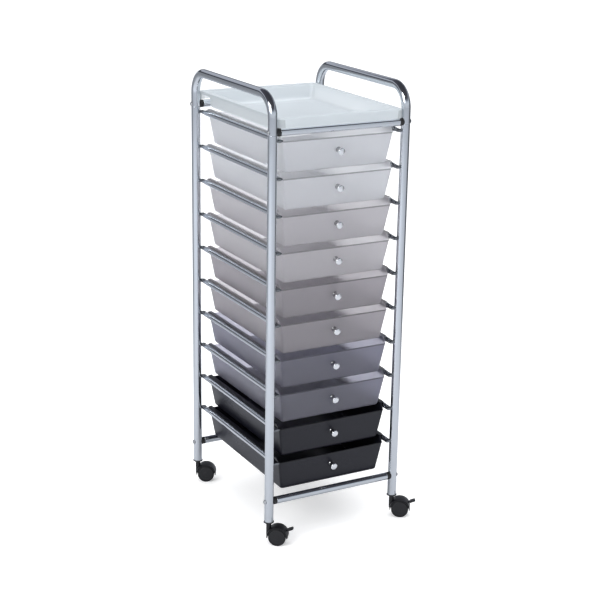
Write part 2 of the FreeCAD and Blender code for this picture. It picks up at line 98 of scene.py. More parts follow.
@dataclass
class Surface:
    """A mesh as whole arrays.

    Args:
        points: vertex places, one row each, in metres.
        quads: four vertex numbers a row, counter-clockwise from outside.
        caps: flat many-sided faces as lists of vertex numbers.
    """

    points: Array
    quads: Array
    caps: list[list[int]] = field(default_factory=list)

    def __add__(self, other: "Surface") -> "Surface":
        """Both surfaces as one, side by side.

        Args:
            other: the second surface.

        Returns:
            The two in one.
        """
        step = len(self.points)
        caps = self.caps + [[number + step for number in cap] for cap in other.caps]
        return Surface(np.vstack((self.points, other.points)),
                       np.vstack((self.quads, other.quads + step)), caps)

    def moved(self, shift: Sequence[float]) -> "Surface":
        """The same surface, shifted."""
        return Surface(self.points + np.asarray(shift, float), self.quads, self.caps)

    def mirrored(self, middle: Sequence[float], axis: int) -> "Surface":
        """The surface mirrored in a plane through middle, its faces turned back outwards.

        Args:
            middle: a point of the mirror plane.
            axis: 0, 1 or 2 for a plane square to X, Y or Z.

        Returns:
            The mirrored surface.
        """
        points = self.points.copy()
        points[:, axis] = 2 * middle[axis] - points[:, axis]
        return Surface(points, self.quads[:, ::-1], [cap[::-1] for cap in self.caps])


def joined(surfaces: Iterable[Surface]) -> Surface:
    """Several surfaces as one.

    Args:
        surfaces: at least one surface.

    Returns:
        One surface that holds them all.
    """
    total: Surface | None = None
    for surface in surfaces:
        total = surface if total is None else total + surface
    assert total is not None
    return total


def grid_quads(rows: int, columns: int, close_rows: bool) -> Array:
    """Faces of a grid whose columns always close into rings.

    Vertex (row, column) has the number row * columns + column.

    Args:
        rows: how many rings there are.
        columns: how many vertices a ring has.
        close_rows: whether the last ring joins the first one.

    Returns:
        The faces as an array of four numbers a row.
    """
    row, column = np.meshgrid(np.arange(rows if close_rows else rows - 1),
                              np.arange(columns), indexing="ij")
    after_row, after_column = (row + 1) % rows, (column + 1) % columns
    quads = np.stack((row * columns + column, row * columns + after_column,
                      after_row * columns + after_column, after_row * columns + column), -1)
    return quads.reshape(-1, 4)


def shell(rings: Array, close_rows: bool = False) -> Surface:
    """A skin over a stack of rings, with flat faces on its ends.

    Args:
        rings: vertex places, shaped (rings, points in a ring, 3).
        close_rows: whether the stack bends round to its own start instead.

    Returns:
        The skin. It faces outwards where the rings run counter-clockwise seen from
        the end of the stack, looking back at its start.
    """
    rows, columns = rings.shape[:2]
    caps: list[list[int]] = []
    if not close_rows:
        caps.append(list(range(columns))[::-1])
        caps.append(list(range((rows - 1) * columns, rows * columns)))
    return Surface(rings.reshape(-1, 3), grid_quads(rows, columns, close_rows), caps)


def turns(steps: int) -> Array:
    """Evenly spaced angles of one full turn, without the repeated last one."""
    return np.linspace(0.0, math.tau, steps, endpoint=False)


def unit(vector: Sequence[float]) -> Array:
    """A vector of length one."""
    array = np.asarray(vector, float)
    return array / np.linalg.norm(array)


def square_pair(axis: Sequence[float]) -> tuple[Array, Array]:
    """Two unit vectors square to an axis and to each other.

    Args:
        axis: the axis.

    Returns:
        A pair whose cross product points along the axis.
    """
    along = unit(axis)
    nearly_upright = 0.9
    helper = np.array(Z_WAY if abs(along[2]) < nearly_upright else X_WAY)
    side = unit(np.cross(helper, along))
    return side, np.cross(along, side)


def lathe(profile: Array, origin: Sequence[float], axis: Sequence[float], steps: int) -> Surface:
    """A turned form: radius r and reach h, carried round an axis.

    A point is origin + h * axis + r * (cos a * side + sin a * other side).

    Args:
        profile: rows of (radius, reach), starting and ending on a small radius.
        origin: the point where reach is zero.
        axis: the direction of reach.
        steps: how many points one turn has.

    Returns:
        The turned surface, closed by flat faces at both ends of the profile.
    """
    side, across = square_pair(axis)
    angle = turns(steps)[None, :, None]
    radius, reach = profile[:, 0][:, None, None], profile[:, 1][:, None, None]
    round_part = np.cos(angle) * side + np.sin(angle) * across
    return shell(np.asarray(origin, float) + reach * unit(axis) + radius * round_part)


def pipe(centres: Array, side: Array, across: Array, outer: Array, inner: float,
         steps: int) -> Surface:
    """A tube with a wall, out along its outside and back through its bore.

    A point is centre + r * (cos a * side + sin a * across), with r the outer radius on
    the way out and the inner one on the way back.

    Args:
        centres: points of the middle line, (n, 3).
        side: a unit vector square to the line at each point, (n, 3).
        across: the other one, with side x across along the line, (n, 3).
        outer: the outer radius at each point, (n,).
        inner: the bore's radius.
        steps: how many points a ring has.

    Returns:
        A closed surface.
    """
    angle = turns(steps)[None, :, None]
    circle = np.cos(angle) * side[:, None, :] + np.sin(angle) * across[:, None, :]
    out = centres[:, None, :] + outer[:, None, None] * circle
    back = (centres[:, None, :] + inner * circle)[::-1]
    return shell(np.concatenate((out, back)), close_rows=True)


def straight_pipe(start: Sequence[float], end: Sequence[float], radius: float, wall: float,
                  lip: float, steps: int) -> Surface:
    """A straight tube whose ends have a small rounded lip.

    Args:
        start: the middle of one end.
        end: the middle of the other end.
        radius: the outer radius.
        wall: the wall's thickness.
        lip: how far the outer edge is broken.
        steps: how many points a ring has.

    Returns:
        A closed surface.
    """
    first, last = np.asarray(start, float), np.asarray(end, float)
    length = float(np.linalg.norm(last - first))
    marks, depths = lip * LIP_MARK_SHARES, lip * LIP_DEPTH_SHARES
    along = np.concatenate((marks, [length / 2], length - marks[::-1]))
    outer = radius - np.concatenate((depths, [0.0], depths[::-1]))
    direction = unit(last - first)
    side, across = square_pair(direction)
    centres = first + along[:, None] * direction
    ones = np.ones((len(along), 1))
    return pipe(centres, ones * side, ones * across, outer, radius - wall, steps)


def smooth_step(value: Array) -> Array:
    """Zero below 0, one above 1, and 3v^2 - 2v^3 between."""
    held = np.clip(value, 0.0, 1.0)
    return held * held * (3.0 - 2.0 * held)


def quarter_turn(count: int) -> list[tuple[float, float]]:
    """Shares (1 - cos a, 1 - sin a) over a quarter turn: an edge's rise from its foot, and its inset."""
    angle = np.linspace(0.0, math.pi / 2, count)
    return list(zip(1 - np.cos(angle), 1 - np.sin(angle)))


@dataclass
class RoundedRing:
    """A ring of points round a rectangle with round corners.

    Each point is a mix of two corner centres plus the corner radius times an outward
    direction, so the ring can shrink at each point by its own amount.

    Args:
        corner_steps: points in each corner.
        long_marks: places of the points along a side that runs in Y, from 0 to 1.
        short_marks: places of the points along a side that runs in X, from 0 to 1.
    """

    corner_steps: int
    long_marks: Array
    short_marks: Array

    def __post_init__(self) -> None:
        """Works out the corner signs, mixing shares and directions, one corner and side at a time."""
        order = [(1.0, -1.0), (1.0, 1.0), (-1.0, 1.0), (-1.0, -1.0)]
        signs_a, signs_b, mix, outward = [], [], [], []
        for number, corner in enumerate(order):
            marks = self.long_marks if number % 2 == 0 else self.short_marks
            bend, run = self.corner_steps, len(marks)
            base = (number - 1) * math.pi / 2
            angle = np.append(np.linspace(base, base + math.pi / 2, bend), np.full(run, base + math.pi / 2))
            following = order[(number + 1) % len(order)]
            signs_a.append(np.tile(corner, (bend + run, 1)))
            signs_b.append(np.vstack((np.tile(corner, (bend, 1)), np.tile(following, (run, 1)))))
            mix.append(np.append(np.zeros(bend), marks))
            outward.append(np.column_stack((np.cos(angle), np.sin(angle))))
        self.signs_a, self.signs_b = np.vstack(signs_a), np.vstack(signs_b)
        self.mix = np.concatenate(mix)[:, None]
        self.outward = np.vstack(outward)

    def __len__(self) -> int:
        """How many points the ring has."""
        return len(self.outward)

    def at(self, low: Sequence[float], high: Sequence[float], inset: Array | float,
           radius: float, reach: Array | float = 0.0) -> Array:
        """The ring's points in plan.

        Args:
            low: the rectangle's lowest x and y.
            high: the rectangle's highest x and y.
            inset: how far each point's rectangle is drawn in.
            radius: the corner radius.
            reach: how far each point is then pushed outwards.

        Returns:
            An array of (x, y).
        """
        middle = (np.asarray(low, float) + np.asarray(high, float)) / 2
        half = (np.asarray(high, float) - np.asarray(low, float)) / 2
        held = np.broadcast_to(np.asarray(inset, float), (len(self),))[:, None]
        pushed = np.broadcast_to(np.asarray(reach, float), (len(self),))[:, None]
        room = half - held - radius
        centre = (1 - self.mix) * self.signs_a * room + self.mix * self.signs_b * room
        return middle + centre + (radius + pushed) * self.outward


def ring_at(plan: Array, height: Array | float) -> Array:
    """Points (x, y, z) from points in plan and a height for each."""
    heights = np.broadcast_to(np.asarray(height, float), (len(plan),))
    return np.column_stack((plan, heights))


# Making pieces


class Piece:
    """Puts a surface into Blender as a piece of the cart."""

    weld_distance = 0.02 * MM
    bevel_segments = 3
    bevel_from_deg = 38.0

    @staticmethod
    def make(name: str, surface: Surface, body: str, slot: str, material: bpy.types.Material,
             stands_for: Sequence[str] = (), sharp_deg: float = 50.0) -> bpy.types.Object:
        """Makes a mesh object that rides on a body.

        Args:
            name: the piece's name.
            surface: its surface.
            body: the body that it moves with.
            slot: the record's material slot; not used.
            material: its finish.
            stands_for: the CAD nodes that it stands for.
            sharp_deg: edges that turn more than this stay sharp.

        Returns:
            The new object.
        """
        mesh = bpy.data.meshes.new(name)
        faces = surface.quads.tolist() + surface.caps
        mesh.from_pydata(surface.points.tolist(), [], faces)
        mesh.materials.append(material)
        mesh.shade_smooth()
        mesh.set_sharp_from_angle(angle=math.radians(sharp_deg))
        mesh.update()
        piece = bpy.data.objects.new(name, mesh)
        bpy.context.scene.collection.objects.link(piece)
        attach(piece, body)
        if stands_for:
            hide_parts(*stands_for)
        log.info("piece %s: %d faces on %s", name, len(faces), body)
        return piece

    @classmethod
    def dress(cls, node: bpy.types.Object, material: bpy.types.Material, bevel: float = 0.0) -> None:
        """Gives a carried-over CAD node its finish and softened edges.

        Args:
            node: the CAD node's object.
            material: its finish.
            bevel: the width of its edge rounding, in metres.
        """
        for slot in node.material_slots:
            slot.material = material
        if bevel > 0:
            weld = node.modifiers.new("weld", "WELD")
            weld.merge_threshold = cls.weld_distance
            rounding = node.modifiers.new("edges", "BEVEL")
            rounding.width = bevel
            rounding.segments = cls.bevel_segments
            rounding.limit_method = "ANGLE"
            rounding.angle_limit = math.radians(cls.bevel_from_deg)
            rounding.harden_normals = False
        log.info("node %s dressed", node.name)


# Shaders


class Wire:
    """A shader output that can be used in sums as a number can."""

    def __init__(self, sheet: "NodeSheet", socket: bpy.types.NodeSocket) -> None:
        """Wraps one output socket of a node sheet."""
        self.sheet = sheet
        self.socket = socket

    def _math(self, operation: str, first: Any, second: Any, clamp: bool = False) -> "Wire":
        """Adds one Math node.

        Args:
            operation: what it works out.
            first: a wire or a number.
            second: another one.
            clamp: whether the outcome is kept between 0 and 1.

        Returns:
            Its output.
        """
        node = self.sheet.node("ShaderNodeMath", {"operation": operation, "use_clamp": clamp},
                               {0: first, 1: second})
        return Wire(self.sheet, node.outputs[0])

    def __add__(self, other: Any) -> "Wire":
        """This plus another."""
        return self._math("ADD", self, other)

    def __sub__(self, other: Any) -> "Wire":
        """This less another."""
        return self._math("SUBTRACT", self, other)

    def __rsub__(self, other: Any) -> "Wire":
        """Another less this."""
        return self._math("SUBTRACT", other, self)

    def __mul__(self, other: Any) -> "Wire":
        """This times another."""
        return self._math("MULTIPLY", self, other)

    def __truediv__(self, other: Any) -> "Wire":
        """This divided by another."""
        return self._math("DIVIDE", self, other)

    def __pow__(self, other: Any) -> "Wire":
        """This to a power."""
        return self._math("POWER", self, other)

    def held(self) -> "Wire":
        """This kept between 0 and 1."""
        return self._math("ADD", self, 0.0, clamp=True)


class NodeSheet:
    """The node tree of one material or of the studio's surroundings."""

    def __init__(self, tree: bpy.types.NodeTree) -> None:
        """Empties a tree to draw on."""
        self.tree = tree
        tree.nodes.clear()

    def node(self, kind: str, settings: dict[str, Any] | None = None,
             inputs: dict[str | int, Any] | None = None) -> bpy.types.Node:
        """Adds one node.

        Args:
            kind: the node's type.
            settings: its properties, and the stops of a ramp as "stops".
            inputs: a value or a link for each named socket.

        Returns:
            The new node.
        """
        made = self.tree.nodes.new(kind)
        for name, value in (settings or {}).items():
            if name == "stops":
                self._set_stops(made, value)
            else:
                setattr(made, name, value)
        for name, value in (inputs or {}).items():
            socket = made.inputs[name]
            if isinstance(value, Wire):
                self.tree.links.new(value.socket, socket)
            elif isinstance(value, bpy.types.NodeSocket):
                self.tree.links.new(value, socket)
            else:
                socket.default_value = value
        return made

    @staticmethod
    def _set_stops(made: bpy.types.Node, stops: Sequence[tuple[float, Sequence[float]]]) -> None:
        """Sets a colour ramp's stops.

        Args:
            made: the ramp's node.
            stops: pairs of a place and a colour.
        """
        elements = made.color_ramp.elements
        anywhere = 0.5
        while len(elements) < len(stops):
            elements.new(anywhere)
        for element, (place, colour) in zip(elements, stops):
            element.position = place
            element.color = (*colour, 1.0)

    def wire(self, socket: bpy.types.NodeSocket) -> Wire:
        """Wraps an output so that it can be used in sums."""
        return Wire(self, socket)

    def places(self) -> bpy.types.NodeSocket:
        """The piece's own coordinates, in metres."""
        return self.node("ShaderNodeTexCoord").outputs["Object"]

    def noise(self, scale: float, detail: float, stretch: Sequence[float] = (1.0, 1.0, 1.0)) -> Wire:
        """A cloudy value from 0 to 1.

        Args:
            scale: clouds to a metre.
            detail: how many finer layers it has.
            stretch: the scale along X, Y and Z.

        Returns:
            The value.
        """
        mapping = self.node("ShaderNodeMapping", None, {"Vector": self.places(), "Scale": tuple(stretch)})
        made = self.node("ShaderNodeTexNoise", None,
                         {"Vector": mapping.outputs["Vector"], "Scale": scale, "Detail": detail})
        return self.wire(made.outputs[0])

    def beyond(self, way: Sequence[float], middle: float, start: float, gain: float) -> Wire:
        """A share from 0 to 1 that grows on both sides of a plane through the piece.

        It is (d^2 - start^2) * gain, with d the distance from the plane.

        Args:
            way: the direction square to the plane.
            middle: how far along the way the plane lies.
            start: the distance where the share begins.
            gain: how fast it grows; below zero, it shrinks towards start instead.

        Returns:
            The share.
        """
        away = self.dot(self.places(), way) - middle
        return ((away * away - start ** 2) * gain).held()

    def above(self, height: float, gain: float) -> Wire:
        """A share from 0 to 1 that grows above a height, by gain for each metre, or below it if negative."""
        return ((self.dot(self.places(), Z_WAY) - height) * gain).held()

    def dot(self, vector: bpy.types.NodeSocket, way: Sequence[float]) -> Wire:
        """How far a vector goes along a way."""
        made = self.node("ShaderNodeVectorMath", {"operation": "DOT_PRODUCT"}, {0: vector, 1: tuple(way)})
        return self.wire(made.outputs["Value"])

    def length(self, vector: bpy.types.NodeSocket) -> Wire:
        """A vector's length."""
        made = self.node("ShaderNodeVectorMath", {"operation": "LENGTH"}, {0: vector})
        return self.wire(made.outputs["Value"])

    def ramp(self, value: Wire, stops: Sequence[tuple[float, Sequence[float]]]) -> bpy.types.NodeSocket:
        """A colour looked up by a value from 0 to 1."""
        made = self.node("ShaderNodeValToRGB", {"stops": stops}, {0: value})
        return made.outputs[0]

    def mirrored_ray(self) -> Wire:
        """Tells which rays a surface has mirrored.

        Returns:
            One for such a ray, and zero for one that went through the surface.
        """
        path = self.node("ShaderNodeLightPath")
        glossy = self.wire(path.outputs["Is Glossy Ray"])
        return glossy * (1.0 - self.wire(path.outputs["Is Transmission Ray"]))

    def blend(self, share: Any, first: Any, second: Any) -> bpy.types.NodeSocket:
        """A colour between two, by a share."""
        made = self.node("ShaderNodeMix", {"data_type": "RGBA"}, {0: share, 6: first, 7: second})
        return made.outputs[2]

    def bump(self, height: Wire, depth: float) -> bpy.types.NodeSocket:
        """A normal from a height, with the depth in metres at a height of one."""
        made = self.node("ShaderNodeBump", None, {"Height": height, "Distance": depth, "Strength": 1.0})
        return made.outputs["Normal"]


def opaque(colour: Colour, share: float = 1.0) -> tuple[float, float, float, float]:
    """A share of a colour, with full alpha."""
    return (colour[0] * share, colour[1] * share, colour[2] * share, 1.0)


@dataclass(frozen=True)
class Finish:
    """What every finish has.

    Args:
        name: the material's name.
        colour: its main colour, linear.
    """

    name: str
    colour: Colour

    def sheet(self) -> tuple[bpy.types.Material, NodeSheet]:
        """Makes a new material.

        Returns:
            The material and its empty node sheet.
        """
        material = bpy.data.materials.new(self.name)
        material.use_nodes = True
        return material, NodeSheet(material.node_tree)

    def close(self, sheet: NodeSheet, inputs: dict[str | int, Any]) -> None:
        """Adds the main shader and the material's output."""
        shader = sheet.node("ShaderNodeBsdfPrincipled", None, inputs)
        sheet.node("ShaderNodeOutputMaterial", None, {"Surface": shader.outputs[0]})


@dataclass(frozen=True)
class Chrome(Finish):
    """Bright plating: a clear mirror with a faint haze and long polishing waves.

    Beyond a distance from a plane it can be darker, as painted shade, such as at a rung's pinched ends.

    Args:
        haze: how rough the clearest places are.
        plane: the y of the plane.
        start: the distance from the plane where the dark begins.
        gain: how fast it grows.
        dark: how much of the colour the painted shade leaves where it is full.
        dull: how much of the colour is left in the clouds.
        clouded: how much rougher the clouds are.
        grained: how much rougher the finest grain makes it.
        depth: the depth of the polishing waves.
    """

    haze: float = 0.05
    plane: float = 0.0
    start: float = 1.0
    gain: float = 1.0
    dark: float = 1.0
    dull: float = 0.93
    clouded: float = 0.16
    grained: float = 0.02
    depth: float = 0.16 * MM

    def build(self) -> bpy.types.Material:
        """Makes the material.

        Returns:
            The material.
        """
        material, sheet = self.sheet()
        cloud = sheet.noise(scale=9.0, detail=3.0)
        fine = sheet.noise(scale=420.0, detail=2.0)
        wave = sheet.noise(scale=34.0, detail=1.0)
        tone = sheet.blend((cloud * 0.6).held(), opaque(self.colour), opaque(self.colour, self.dull))
        # Painted shade: the colour darkens beyond start from the plane.
        tone = sheet.blend(sheet.beyond(Y_WAY, self.plane, self.start, self.gain), tone,
                           opaque(self.colour, self.dark))
        rough = cloud ** 3.0 * self.clouded + fine * self.grained + self.haze
        normal = sheet.bump(wave * 0.85 + fine * 0.03, self.depth)
        self.close(sheet, {"Base Color": tone, "Metallic": 1.0, "Roughness": rough, "Normal": normal})
        return material


@dataclass(frozen=True)
class Steel(Finish):
    """Zinc-plated steel with a fine grain.

    Args:
        rough: how rough the smoothest places are.
        grained: how much rougher the grain makes it.
        dull: how much of the colour is left in the clouds.
        depth: the depth of the grain.
    """

    rough: float = 0.22
    grained: float = 0.2
    dull: float = 0.8
    depth: float = 0.04 * MM

    def build(self) -> bpy.types.Material:
        """Makes the material.

        Returns:
            The material.
        """
        material, sheet = self.sheet()
        grain = sheet.noise(scale=900.0, detail=3.0)
        cloud = sheet.noise(scale=60.0, detail=2.0)
        tone = sheet.blend(cloud, opaque(self.colour), opaque(self.colour, self.dull))
        rough = grain * self.grained + self.rough
        normal = sheet.bump(grain, self.depth)
        self.close(sheet, {"Base Color": tone, "Metallic": 1.0, "Roughness": rough, "Normal": normal})
        return material


@dataclass(frozen=True)
class FrostedPlastic(Finish):
    """Moulded see-through plastic: a smooth skin over a body that scatters light.

    Args:
        clearness: how much light goes straight through.
        rough: how dull the skin is.
        glow: how much of the light spreads inside before it leaves again.
        lift: the light that many weak bounces between the walls add.
        middle: the x and y of the piece's middle.
        flange: how far to the side of the middle the flanges begin.
        ends: how far before and behind the middle the end walls begin.
        rim: the height where the end walls' rims begin.
        density_and_shade: how much of its colour a flange or a rim keeps: painted shade of the rung under it,
            and partly the plastic's denser look seen edge on.
        dull: how much of the colour is left in the flow marks.
        flowing: how much rougher the flow marks are.
        grained: how much rougher the skin's grain makes it.
        smoother: how much less rough than its dullness the smoothest places are.
        depth: the depth of the skin's grain.
        flange_gain: how fast the flanges' share grows.
        end_gain: how fast the end walls' share grows.
        rim_gain: how fast the rims' share grows with height.
    """

    clearness: float = 0.3
    rough: float = 0.3
    glow: float = 0.0
    lift: float = 0.0
    middle: tuple[float, float] = (0.0, 0.0)
    flange: float = 1.0
    ends: float = 1.0
    rim: float = 2.0
    density_and_shade: float = 1.0
    dull: float = 0.93
    flowing: float = 0.08
    grained: float = 0.05
    smoother: float = 0.06
    depth: float = 0.03 * MM
    flange_gain: float = 600.0
    end_gain: float = 3200.0
    rim_gain: float = 2500.0

    def edges(self, sheet: NodeSheet) -> Wire:
        """One on the flanges and on the end walls' rims, and zero elsewhere.

        Args:
            sheet: the node sheet.

        Returns:
            The share.
        """
        beside = sheet.beyond(X_WAY, self.middle[0], self.flange, self.flange_gain)
        at_ends = sheet.beyond(Y_WAY, self.middle[1], self.ends, self.end_gain)
        # Painted shade: this share marks the flanges and the end walls' rims, which lie over the rungs.
        return (beside + at_ends * sheet.above(self.rim, self.rim_gain)).held()

    def shine(self, sheet: NodeSheet, tone: bpy.types.NodeSocket) -> Any:
        """The colour of the lift, which is the body's own all over."""
        return opaque(self.colour)

    def build(self) -> bpy.types.Material:
        """Makes the material.

        Returns:
            The material.
        """
        material, sheet = self.sheet()
        flow = sheet.noise(scale=7.0, detail=3.0, stretch=(1.0, 1.0, 2.4))
        cloud = sheet.noise(scale=46.0, detail=2.0)
        skin = sheet.noise(scale=1400.0, detail=2.0)
        streaks = (flow * 0.7 + cloud * 0.2).held()
        tone = sheet.blend(streaks, opaque(self.colour), opaque(self.colour, self.dull))
        # Painted shade: where edges() is one, only a share of the colour is kept; on a drawer this is partly
        # the plastic's denser look too.
        tone = sheet.blend(self.edges(sheet), tone, opaque(self.colour, self.density_and_shade))
        rough = flow * self.flowing + skin * self.grained + (self.rough - self.smoother)
        self.close(sheet, {
            "Base Color": tone, "Roughness": rough, "IOR": 1.45,
            "Transmission Weight": self.clearness, "Subsurface Weight": self.glow,
            "Subsurface Radius": (1.0, 1.0, 1.0), "Subsurface Scale": 0.02,
            "Emission Color": self.shine(sheet, tone), "Emission Strength": self.lift,
            "Normal": sheet.bump(skin * 0.3 + cloud * 0.5, self.depth),
        })
        return material


@dataclass(frozen=True)
class TrayPlastic(FrostedPlastic):
    """The tray's plastic: the white floor of the well lights the well's end walls.

    Args:
        well: half the width and half the length of the well, at its outer faces.
        top: the height of the tray's rim.
        lean: how far the well's walls lean in for each metre of depth.
        bounce: how much the floor adds to the lift on the end walls.
        under_lip: how far below the rim the lip's underside lies.
        skin: how far inside the well's outer faces the plane lies that parts them from the inner ones.
        wall_band: how far before the well's ends the bounced light begins, and how far behind it stops.
        side_gain: how fast the share of the lip's outer sides grows.
        face_gain: how fast the share of the well's outer faces grows.
        under_gain: how fast it grows below the lip.
        between_gain: how fast the bounced light grows inwards from the well's sides.
        wall_gain: how fast it grows towards the end walls.
        behind_gain: how fast it shrinks behind them.
        deep_gain: how fast it grows below the rim.
    """

    well: tuple[float, float] = (1.0, 1.0)
    top: float = 0.0
    lean: float = 0.0
    bounce: float = 1.38
    under_lip: float = 2.6 * MM
    skin: float = 1.3 * MM
    wall_band: tuple[float, float] = (9.0 * MM, 2.0 * MM)
    side_gain: float = 3000.0
    face_gain: float = 5000.0
    under_gain: float = 2000.0
    between_gain: float = 600.0
    wall_gain: float = 1200.0
    behind_gain: float = 1500.0
    deep_gain: float = 400.0

    def edges(self, sheet: NodeSheet) -> Wire:
        """One on the lip's outer sides and on the well's outer side walls, and zero elsewhere.

        The parting plane leans with the wall: (x^2 - f^2 + 2 * f * lean * depth) * gain,
        with f its distance from the middle at the lip.

        Args:
            sheet: the node sheet.

        Returns:
            The share.
        """
        place = sheet.places()
        across = sheet.dot(place, X_WAY) - self.middle[0]
        under = (self.top - self.under_lip) - sheet.dot(place, Z_WAY)
        parting = self.well[0] - self.skin
        outside = (across * across - parting * parting + under * (2.0 * parting * self.lean)) * self.face_gain
        lip = sheet.beyond(X_WAY, self.middle[0], self.flange, self.side_gain)
        # Painted shade: the lip's outer sides and the well's outer side walls are darkened.
        return (lip + outside.held() * (under * self.under_gain).held()).held()

    def shine(self, sheet: NodeSheet, tone: bpy.types.NodeSocket) -> Any:
        """The colour of the lift: dim on the outer sides, bright on the well's end walls.

        Args:
            sheet: the node sheet.
            tone: the colour of the body.

        Returns:
            The colour.
        """
        before, behind = self.wall_band
        between = sheet.beyond(X_WAY, self.middle[0], self.well[0], -self.between_gain)
        wall = sheet.beyond(Y_WAY, self.middle[1], self.well[1] - before, self.wall_gain)
        wall = wall * sheet.beyond(Y_WAY, self.middle[1], self.well[1] + behind, -self.behind_gain)
        deep = sheet.above(self.top, -self.deep_gain)
        return sheet.blend(between * wall * deep, tone, opaque(self.colour, self.bounce))


@dataclass(frozen=True)
class MouldedPlastic(Finish):
    """Opaque moulded plastic with a fine spark-eroded grain.

    Args:
        rough: how dull it is.
        clouded: how much rougher the clouds are.
        grained: how much rougher the grain makes it.
        dull: how much of the colour is left in the clouds.
        depth: the depth of the grain.
    """

    rough: float = 0.4
    clouded: float = 0.1
    grained: float = 0.08
    dull: float = 0.82
    depth: float = 0.08 * MM

    def build(self) -> bpy.types.Material:
        """Makes the material.

        Returns:
            The material.
        """
        material, sheet = self.sheet()
        skin = sheet.noise(scale=1700.0, detail=3.0)
        cloud = sheet.noise(scale=30.0, detail=2.0)
        tone = sheet.blend(cloud, opaque(self.colour), opaque(self.colour, self.dull))
        smoothest = self.rough - (self.clouded + self.grained) / 2
        rough = cloud * self.clouded + skin * self.grained + smoothest
        self.close(sheet, {"Base Color": tone, "Roughness": rough, "Normal": sheet.bump(skin, self.depth)})
        return material


class Tone(Enum):
    """The five plastics of the drawers, from the top pair to the bottom pair."""

    FROST = FrostedPlastic("drawer_frost", (0.70, 0.71, 0.74), 0.78, 0.50, 0.9, 0.09)
    LIGHT = FrostedPlastic("drawer_light_grey", (0.655, 0.645, 0.675), 0.80, 0.46, 0.9, 0.06)
    MIDDLE = FrostedPlastic("drawer_mid_grey", (0.55, 0.53, 0.565), 0.82, 0.42, 0.9, 0.03)
    SMOKE = FrostedPlastic("drawer_smoke", (0.405, 0.405, 0.485), 0.88, 0.36, 0.9, 0.01)
    BLACK = FrostedPlastic("drawer_black", (0.007, 0.007, 0.012), 0.0, 0.28, 0.0, 0.0)

    @property
    def slot(self) -> str:
        """The record's material slot."""
        return self.value.name


# The cart


@dataclass(frozen=True)
class Places:
    """Where the carried-over nodes stand, in metres.

    Args:
        left: the x of the left posts.
        right: the x of the right posts.
        front: the y of the front posts.
        rear: the y of the rear posts.
        foot: the height of the posts' feet.
        handle_foot: the height where the handles stand on the posts.
        handle_top: the height of the handles' tops.
        top_bar: the height of the top crossbars' middle lines.
        low_bar: the height of the bottom ones.
        rung_low: the height of the lowest rungs' undersides.
        rung_high: the height of the highest rungs' tops.
    """

    left: float
    right: float
    front: float
    rear: float
    foot: float
    handle_foot: float
    handle_top: float
    top_bar: float
    low_bar: float
    rung_low: float
    rung_high: float

    @classmethod
    def read(cls) -> "Places":
        """Reads the places from the nodes' boxes.

        Returns:
            The places.
        """
        near_low, near_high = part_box("left_front_post")
        far_low, far_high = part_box("right_rear_post")
        handle_low, handle_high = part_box("left_handle")
        top_low, top_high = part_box("top_crossbars")
        bottom_low, bottom_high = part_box("bottom_crossbars")
        rung_low, rung_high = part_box("left_rungs")
        return cls(
            left=(near_low.x + near_high.x) / 2, right=(far_low.x + far_high.x) / 2,
            front=(near_low.y + near_high.y) / 2, rear=(far_low.y + far_high.y) / 2, foot=near_low.z,
            handle_foot=handle_low.z, handle_top=handle_high.z, top_bar=(top_low.z + top_high.z) / 2,
            low_bar=(bottom_low.z + bottom_high.z) / 2, rung_low=rung_low.z, rung_high=rung_high.z)

    @property
    def middle(self) -> tuple[float, float, float]:
        """The middle of the four posts, on the floor."""
        return ((self.left + self.right) / 2, (self.front + self.rear) / 2, 0.0)

    def corner(self, side: int, end: int) -> tuple[float, float]:
        """The x and y of a corner post, by side (-1 left) and end (-1 front)."""
        return (self.left if side < 0 else self.right, self.front if end < 0 else self.rear)


SIDES = {-1: "left", 1: "right"}
ENDS = {-1: "front", 1: "rear"}


